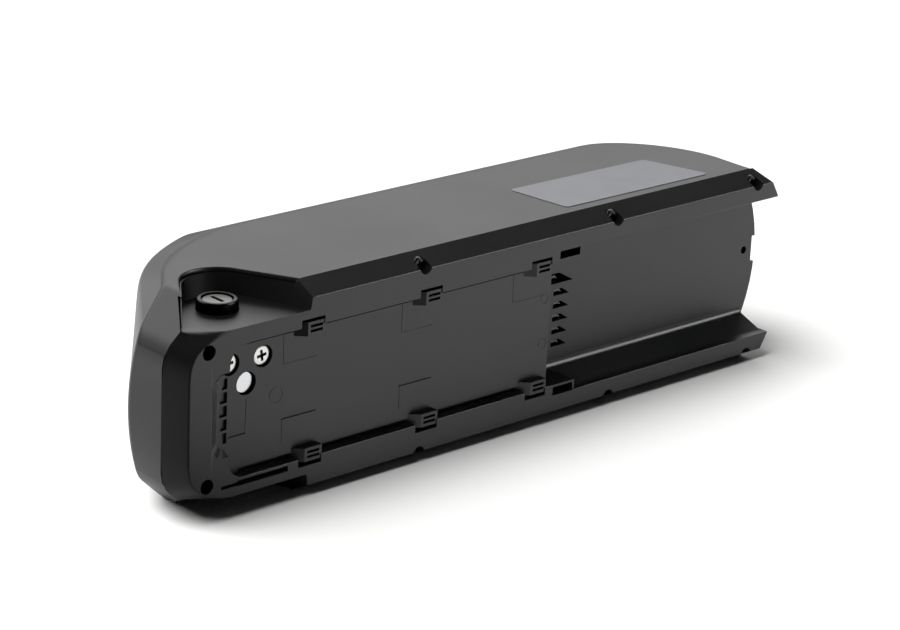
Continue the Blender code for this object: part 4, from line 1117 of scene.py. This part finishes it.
# Length, half width and turn of the cross, and its depth as a share of the head's height
CROSS_ARM = 0.58
CROSS_THIN = 0.16
CROSS_TURN = math.radians(8.0)
CROSS_DEPTH = 0.9
# Faces between these shares of the head's height are the walls of the cross, painted dark as shade
CROSS_SHADE_WALLS = (0.1, 0.95)
# The shank ends in a point of this share of its radius
POINT = 0.25
# Outline of the domed head, as shares of its radius and height
DOME = ((0.0, 0.0), (0.72, 0.02), (0.88, 0.06), (0.97, 0.16), (1.0, 0.34))


class PACK_OT_screws(bpy.types.Operator):
    """Make the case screws and the lock's screws: domed heads with a cross recess"""

    bl_idname = "pack.screws"
    bl_label = "Screws"

    def execute(self, context):
        for i in range(1, 9):
            make_screw(f"case_screw_{i}", *CASE_SCREW, "oxide")
        for side in ("nose", "tail"):
            make_screw(f"lock_screw_{side}_side", *LOCK_SCREW, "zinc")
        return {"FINISHED"}


def make_screw(node, head, height, shank, finish):
    """A flat domed head with a cross recess, on a plain shank with a point."""
    low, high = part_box(node)
    centre = (low + high) / 2
    centre.y = low.y
    centre -= ORIGIN
    end = high.y - low.y
    profile = [(head * across, height * down) for across, down in DOME]
    profile += [
        (head, height - GAP), (shank, height - GAP), (shank, end - shank), (shank * POINT, end),
    ]
    body = turned(node + "_domed", centre, "Y", profile, SCREW_SIDES)
    arm = head * CROSS_ARM
    thin = head * CROSS_THIN
    cross = [
        (-arm, -thin), (-thin, -thin), (-thin, -arm), (thin, -arm), (thin, -thin), (arm, -thin),
        (arm, thin), (thin, thin), (thin, arm), (-thin, arm), (-thin, thin), (-arm, thin),
    ]
    along, aside = math.cos(CROSS_TURN), math.sin(CROSS_TURN)
    plan = []
    for u, v in cross:
        plan.append((centre.x + u * along - v * aside, centre.z + u * aside + v * along))
    cut(body, prism(plan, "Y", centre.y - MM, centre.y + height * CROSS_DEPTH))
    dress(body, "case", finish, "screw_steel", node)
    # Painted shade: the walls of the cross take the blackened steel's colour, as the shade inside
    # the recess
    body.data.materials.append(finish_of("oxide"))
    for face in body.data.polygons:
        middle = face.center - ORIGIN - centre
        depth = middle.y / height
        if math.hypot(middle.x, middle.z) < arm and CROSS_SHADE_WALLS[0] < depth < CROSS_SHADE_WALLS[1]:
            face.material_index = 1


# Lock

LOCK_X = 39 * MM
LOCK_Y = 23 * MM
LOCK_SIDES = 64
RING_RADIUS = 8.5 * MM
RING_TOP = RECESS_FLOOR + 4.5 * MM
PLUG_RADIUS = 6.3 * MM
PLUG_TOP = RING_TOP - 0.6 * MM
RING_STEPS = 5
# Width, length and depth of the keyway
KEYWAY = (1.8 * MM, 7.5 * MM, 9.0 * MM)


class PACK_OT_lock(bpy.types.Operator):
    """Make the lock: its ring, the slotted cylinder and the bolt"""

    bl_idname = "pack.lock"
    bl_label = "Lock"

    def execute(self, context):
        small = context.scene.pack_sizes.small_round
        make_ring(small)
        make_plug(small)
        body = copied("lock_bolt", "lock_bolt_plated")
        round_edges(body, small)
        settle(body, "lock_bolt", "chrome", "lock_chrome", "lock_bolt")
        return {"FINISHED"}


def lock_block(half_x, half_y, low, high):
    """A block round the lock's axis."""
    x = (LOCK_X - half_x, LOCK_X + half_x)
    return box(x, (LOCK_Y - half_y, LOCK_Y + half_y), (low, high))


def make_ring(small):
    """The lock's body under the floor, with a smooth round ring above it."""
    body = copied_home("lock_housing", "lock_housing_plated")
    low = RECESS_FLOOR + 2 * GAP
    cut(body, lock_block(2 * RING_RADIUS, 2 * RING_RADIUS, low, RING_TOP + MM))
    inner = PLUG_RADIUS + GAP
    reach = 5 * small
    profile = [(RING_RADIUS, low - GAP), (RING_RADIUS, RING_TOP - reach)]
    for i in range(1, RING_STEPS + 1):
        turn = math.pi / 2 * i / RING_STEPS
        radius = RING_RADIUS - reach * (1 - math.cos(turn))
        profile.append((radius, RING_TOP - reach * (1 - math.sin(turn))))
    profile.append((inner, RING_TOP))
    ring = turned("ring", (LOCK_X, LOCK_Y, 0.0), "Z", profile, LOCK_SIDES)
    hole = circle(LOCK_X, LOCK_Y, inner, LOCK_SIDES)
    cut(ring, prism(hole, "Z", low - MM, RING_TOP + MM))
    join(body, ring)
    dress(body, "case", "black_chrome", "lock_chrome", "lock_housing")


def make_plug(small):
    """The turning cylinder, with a smooth head and the keyway across the case."""
    body = copied_home("lock_cylinder", "lock_cylinder_plated")
    slot_width, slot_length, slot_depth = KEYWAY
    low = PLUG_TOP - slot_depth - MM
    cut(body, lock_block(2 * PLUG_RADIUS, 2 * PLUG_RADIUS, low, PLUG_TOP + MM))
    profile = [
        (PLUG_RADIUS, low - GAP), (PLUG_RADIUS, PLUG_TOP - 3 * small),
        (PLUG_RADIUS - small, PLUG_TOP - small), (PLUG_RADIUS - 3 * small, PLUG_TOP),
        (0.0, PLUG_TOP),
    ]
    head = turned("head", (LOCK_X, LOCK_Y, 0.0), "Z", profile, LOCK_SIDES)
    slot = (PLUG_TOP - slot_depth, PLUG_TOP + MM)
    cut(head, lock_block(slot_width / 2, slot_length / 2, *slot))
    join(body, head)
    dress(body, "lock_cylinder", "nickel", "lock_chrome", "lock_cylinder")


# Contacts


class PACK_OT_contacts(bpy.types.Operator):
    """Make the terminal block and its six contact blades"""

    bl_idname = "pack.contacts"
    bl_label = "Contacts"

    def execute(self, context):
        small = context.scene.pack_sizes.small_round
        body = copied("terminal_block", "terminal_block_moulding")
        round_edges(body, small)
        settle(body, "case", "fitting", "fitting_plastic", "terminal_block")
        for i in range(1, 7):
            # The blades' dark colour is partly painted shade of their slots
            body = copied(f"contact_{i}", f"contact_{i}_blade")
            round_edges(body, small)
            settle(body, "case", "tin", "contact_metal", f"contact_{i}")
        return {"FINISHED"}


# Charge port


class PACK_OT_charge_port(bpy.types.Operator):
    """Make the charge socket, its nut and the hinged rubber cap"""

    bl_idname = "pack.charge_port"
    bl_label = "Charge Port"

    def execute(self, context):
        small = context.scene.pack_sizes.small_round
        for node, ride, finish, slot in (
            ("charge_socket", "case", "fitting", "fitting_plastic"),
            ("charge_socket_nut", "case", "zinc", "screw_steel"),
            ("charge_cap", "charge_cap", "rubber", "rubber"),
        ):
            body = copied(node, node + "_finished")
            round_edges(body, small)
            settle(body, ride, finish, slot, node)
        return {"FINISHED"}


# Pieces inside the case

FOAM_ROUND = 0.8 * MM
FOAM_STEPS = 3


class PACK_OT_inside(bpy.types.Operator):
    """Finish the cells, holders, board, leads and seals, and make the foam pad"""

    bl_idname = "pack.inside"
    bl_label = "Inside"

    def execute(self, context):
        plain = {f"cell_group_{i:02d}": "sleeve" for i in range(1, 11)}
        plain.update(cell_holder_upper="holder", cell_holder_lower="holder")
        plain.update(protection_board="board", positive_lead="red", negative_lead="black")
        plain.update(seal_nose="rubber", seal_upper="rubber", seal_lower="rubber")
        for node, finish in plain.items():
            slots = NODES[node].data.materials
            slots.clear()
            slots.append(finish_of(finish))
        make_foam()
        return {"FINISHED"}


def make_foam():
    """The foam pad with its sawn edges rounded, inside the space of its solid."""
    body = copied("foam_pad", "foam_pad_crowned")
    round_edges(body, FOAM_ROUND, SHELL_EDGE, FOAM_STEPS)
    settle(body, "case", "foam", "foam", "foam_pad")


# Plate

# Its corners in mm, as (x, y) on the upper flank
PLATE_CORNERS = ((221.4, 48.4), (224.3, 15.5), (313.1, 14.6), (304.3, 47.1))
PLATE_ROUND = 0.08 * MM
PLATE_ROOT = 0.02 * MM
PLATE_STEPS = 6


class PACK_OT_plate(bpy.types.Operator):
    """Make the bare plate on the upper flank"""

    bl_idname = "pack.plate"
    bl_label = "Bare Plate"

    def execute(self, context):
        sizes = context.scene.pack_sizes
        corners = [(x * MM, y * MM) for x, y in PLATE_CORNERS]
        outline = rounded(corners, [sizes.plate_corner] * len(corners), PLATE_STEPS)
        top = HALF + sizes.plate_thickness
        body = prism(outline, "Z", HALF - PLATE_ROOT, top, "bare_plate")
        round_edges(body, PLATE_ROUND, SHELL_EDGE)
        dress(body, "case", "plate", "shell_plastic")
        return {"FINISHED"}


# Stage

FLOOR_RADIUS = 8.0
FLOOR_PATCH = 0.4
# Painted shade in the reflections: the dark grey that gloss on the pack sees on the floor beside
# the nose, and where it fades in on the floor
GLOSS_SHADE_COLOUR = linear("#383838")
GLOSS_SHADE_SPANS = (("X", -0.06, -0.18), ("Y", 0.05, -0.1))
# Directions between which the pale wall fades in, and the level of the room round it
WALL_SPANS = (("X", -0.8, -0.45), ("Y", 0.36, 0.56), ("Z", 0.74, 0.64), ("Z", 0.1, 0.28))
ROOM_LEVEL = 0.02
# The wall is brighter above; the lamp in front has a soft edge
WALL_LEVEL = {"From Min": 0.45, "From Max": 0.58, "To Min": 1.4, "To Max": 3.5}
LAMP_DIRECTION = (0.649, -0.468, 0.6)
LAMP_LEVEL = {"From Min": 0.97, "From Max": 0.99, "To Min": 0.0, "To Max": 12.0}
# Ray depths below this belong to what the camera sees in the first reflection
FIRST_REFLECTION = 2.5
SUN_DIRECTION = Vector((-0.5, 0.12, 0.86))
SUN_SPREAD = math.radians(45.0)
SUN_POWER = 4.1


class PACK_OT_stage(bpy.types.Operator):
    """Make the floor, the light and the camera"""

    bl_idname = "pack.stage"
    bl_label = "Stage"

    def execute(self, context):
        scene = context.scene
        make_floor(scene)
        make_world(scene)
        make_sun(scene)
        make_camera(scene)
        scene.view_settings.view_transform = "Standard"
        return {"FINISHED"}


def within(tree, parts, spans):
    """Share that is one within all spans; each fades in between two places on its axis."""
    share = None
    for axis, begin, end in spans:
        step = add(
            tree, "ShaderNodeMapRange",
            {"Value": parts.outputs[axis], "From Min": begin, "From Max": end},
            interpolation_type="SMOOTHSTEP",
        ).outputs["Result"]
        if share:
            step = add(tree, "ShaderNodeMath", {0: share, 1: step}, operation="MULTIPLY").outputs[0]
        share = step
    return share


def make_floor(scene):
    """A pale floor; gloss on the pack sees it dark grey near the nose, as a painted dark
    reflection.
    """
    rgb = scene.pack_colours.floor
    shape = bmesh.new()
    bmesh.ops.create_circle(shape, cap_ends=True, segments=96, radius=FLOOR_RADIUS)
    floor = raw("studio_floor", shape)
    made, tree, shader, coords = start_material("painted_studio_floor", rgb, 0.95)
    cloud = add(
        tree, "ShaderNodeTexNoise", {"Vector": coords, "Scale": 1 / FLOOR_PATCH, "Detail": 2.0},
    )
    tone = add(
        tree, "ShaderNodeMix",
        {"Factor": cloud.outputs["Fac"], "A": shade(rgb, 0.99), "B": shade(rgb, 1.01)},
        data_type="RGBA",
    )
    place = add(tree, "ShaderNodeSeparateXYZ", {"Vector": coords})
    rays = add(tree, "ShaderNodeLightPath")
    # Painted reflection: near the nose, glossy rays see the floor dark grey
    gloss_shade = add(
        tree, "ShaderNodeMath",
        {0: within(tree, place, GLOSS_SHADE_SPANS), 1: rays.outputs["Is Glossy Ray"]},
        operation="MULTIPLY",
    )
    seen = add(
        tree, "ShaderNodeMix",
        {"Factor": gloss_shade.outputs[0], "A": tone.outputs["Result"], "B": shade(GLOSS_SHADE_COLOUR, 1.0)},
        data_type="RGBA",
    )
    tree.links.new(seen.outputs["Result"], shader.inputs["Base Color"])
    floor.data.materials.append(made)


def make_world(scene):
    """A pale wall above a dim horizon, a lamp for gloss alone, and white for the camera."""
    world = bpy.data.worlds.new("pale_studio")
    world.use_nodes = True
    tree = world.node_tree
    tree.nodes.clear()
    direction = add(tree, "ShaderNodeTexCoord").outputs["Generated"]
    parts = add(tree, "ShaderNodeSeparateXYZ", {"Vector": direction})
    wall = add(
        tree, "ShaderNodeMapRange", {"Value": parts.outputs["Z"], **WALL_LEVEL},
        interpolation_type="SMOOTHSTEP",
    )
    room = add(
        tree, "ShaderNodeMapRange",
        {
            "Value": within(tree, parts, WALL_SPANS), "To Min": ROOM_LEVEL,
            "To Max": wall.outputs["Result"],
        },
    )
    facing = add(
        tree, "ShaderNodeVectorMath", {0: direction, 1: LAMP_DIRECTION}, operation="DOT_PRODUCT",
    )
    lamp = add(
        tree, "ShaderNodeMapRange", {"Value": facing.outputs["Value"], **LAMP_LEVEL},
        interpolation_type="SMOOTHSTEP",
    )
    rays = add(tree, "ShaderNodeLightPath")
    shine = add(
        tree, "ShaderNodeMath", {0: rays.outputs["Ray Depth"], 1: FIRST_REFLECTION},
        operation="LESS_THAN",
    )
    for factor in (rays.outputs["Is Glossy Ray"], lamp.outputs["Result"]):
        shine = add(
            tree, "ShaderNodeMath", {0: shine.outputs[0], 1: factor}, operation="MULTIPLY",
        )
    both = add(
        tree, "ShaderNodeMath", {0: room.outputs["Result"], 1: shine.outputs[0]}, operation="ADD",
    )
    seen = add(
        tree, "ShaderNodeMix",
        {"Factor": rays.outputs["Is Camera Ray"], "A": both.outputs[0], "B": 1.0},
    )
    sky = add(
        tree, "ShaderNodeBackground",
        {"Color": shade(linear("#ffffff"), 1.0), "Strength": seen.outputs["Result"]},
    )
    add(tree, "ShaderNodeOutputWorld", {"Surface": sky.outputs["Background"]})
    scene.world = world


def make_sun(scene):
    """A wide soft light from above, too spread out to show in the gloss."""
    data = bpy.data.lights.new("ceiling_light", "SUN")
    data.angle = SUN_SPREAD
    data.energy = SUN_POWER
    lamp = bpy.data.objects.new("ceiling_light", data)
    lamp.location = SUN_DIRECTION * 2
    lamp.visible_glossy = False
    lamp.rotation_mode = "QUATERNION"
    lamp.rotation_quaternion = (-SUN_DIRECTION).to_track_quat("-Z", "Y")
    scene.collection.objects.link(lamp)


def make_camera(scene):
    """The camera at the photograph's angle, tilted as it was held."""
    view = scene.pack_view
    a, e, r = view.azimuth, view.elevation, view.roll
    ahead = Vector((math.sin(a) * math.cos(e), math.cos(a) * math.cos(e), -math.sin(e)))
    right = Vector((math.cos(a), -math.sin(a), 0.0))
    up = Vector((math.sin(a) * math.sin(e), math.cos(a) * math.sin(e), math.cos(e)))
    across = right * math.cos(r) + up * math.sin(r)
    upward = up * math.cos(r) - right * math.sin(r)
    data = bpy.data.cameras.new("photo_camera")
    data.lens = view.lens
    data.sensor_width = 36.0
    data.sensor_fit = "HORIZONTAL"
    camera = bpy.data.objects.new("photo_camera", data)
    turn = Matrix((across, upward, -ahead)).transposed().to_4x4()
    camera.matrix_world = Matrix.Translation(Vector(view.aim) - ahead * view.distance) @ turn
    scene.collection.objects.link(camera)
    scene.camera = camera


class PACK_PT_panel(bpy.types.Panel):
    """Lists the steps that dress the pack"""

    bl_label = "Battery Pack"
    bl_idname = "PACK_PT_panel"
    bl_space_type = "VIEW_3D"
    bl_region_type = "UI"
    bl_category = "Pack"

    def draw(self, context):
        for step in STEPS:
            self.layout.operator(step.bl_idname)
        for group in [getattr(context.scene, name) for name in GROUPS]:
            column = self.layout.column()
            for name in group.__annotations__:
                column.prop(group, name)


STEPS = (
    PACK_OT_stage, PACK_OT_main_shell, PACK_OT_base_shell, PACK_OT_screws, PACK_OT_lock,
    PACK_OT_contacts, PACK_OT_charge_port, PACK_OT_inside, PACK_OT_plate,
)
GROUPS = {"pack_sizes": PackSizes, "pack_colours": PackColours, "pack_view": PackView}
CLASSES = (*GROUPS.values(), *STEPS, PACK_PT_panel)


def register():
    """Registers the classes and puts the settings on the scene."""
    for item in CLASSES:
        bpy.utils.register_class(item)
    for name, group in GROUPS.items():
        setattr(bpy.types.Scene, name, bpy.props.PointerProperty(type=group))


def unregister():
    """Takes the settings and the classes away again."""
    for name in GROUPS:
        delattr(bpy.types.Scene, name)
    for item in reversed(CLASSES):
        bpy.utils.unregister_class(item)


def main():
    """Makes the stage and every piece."""
    register()
    bpy.ops.pack.stage()
    bpy.ops.pack.main_shell()
    bpy.ops.pack.base_shell()
    bpy.ops.pack.screws()
    bpy.ops.pack.lock()
    bpy.ops.pack.contacts()
    bpy.ops.pack.charge_port()
    bpy.ops.pack.inside()
    bpy.ops.pack.plate()


if __name__ == "__main__":
    main()
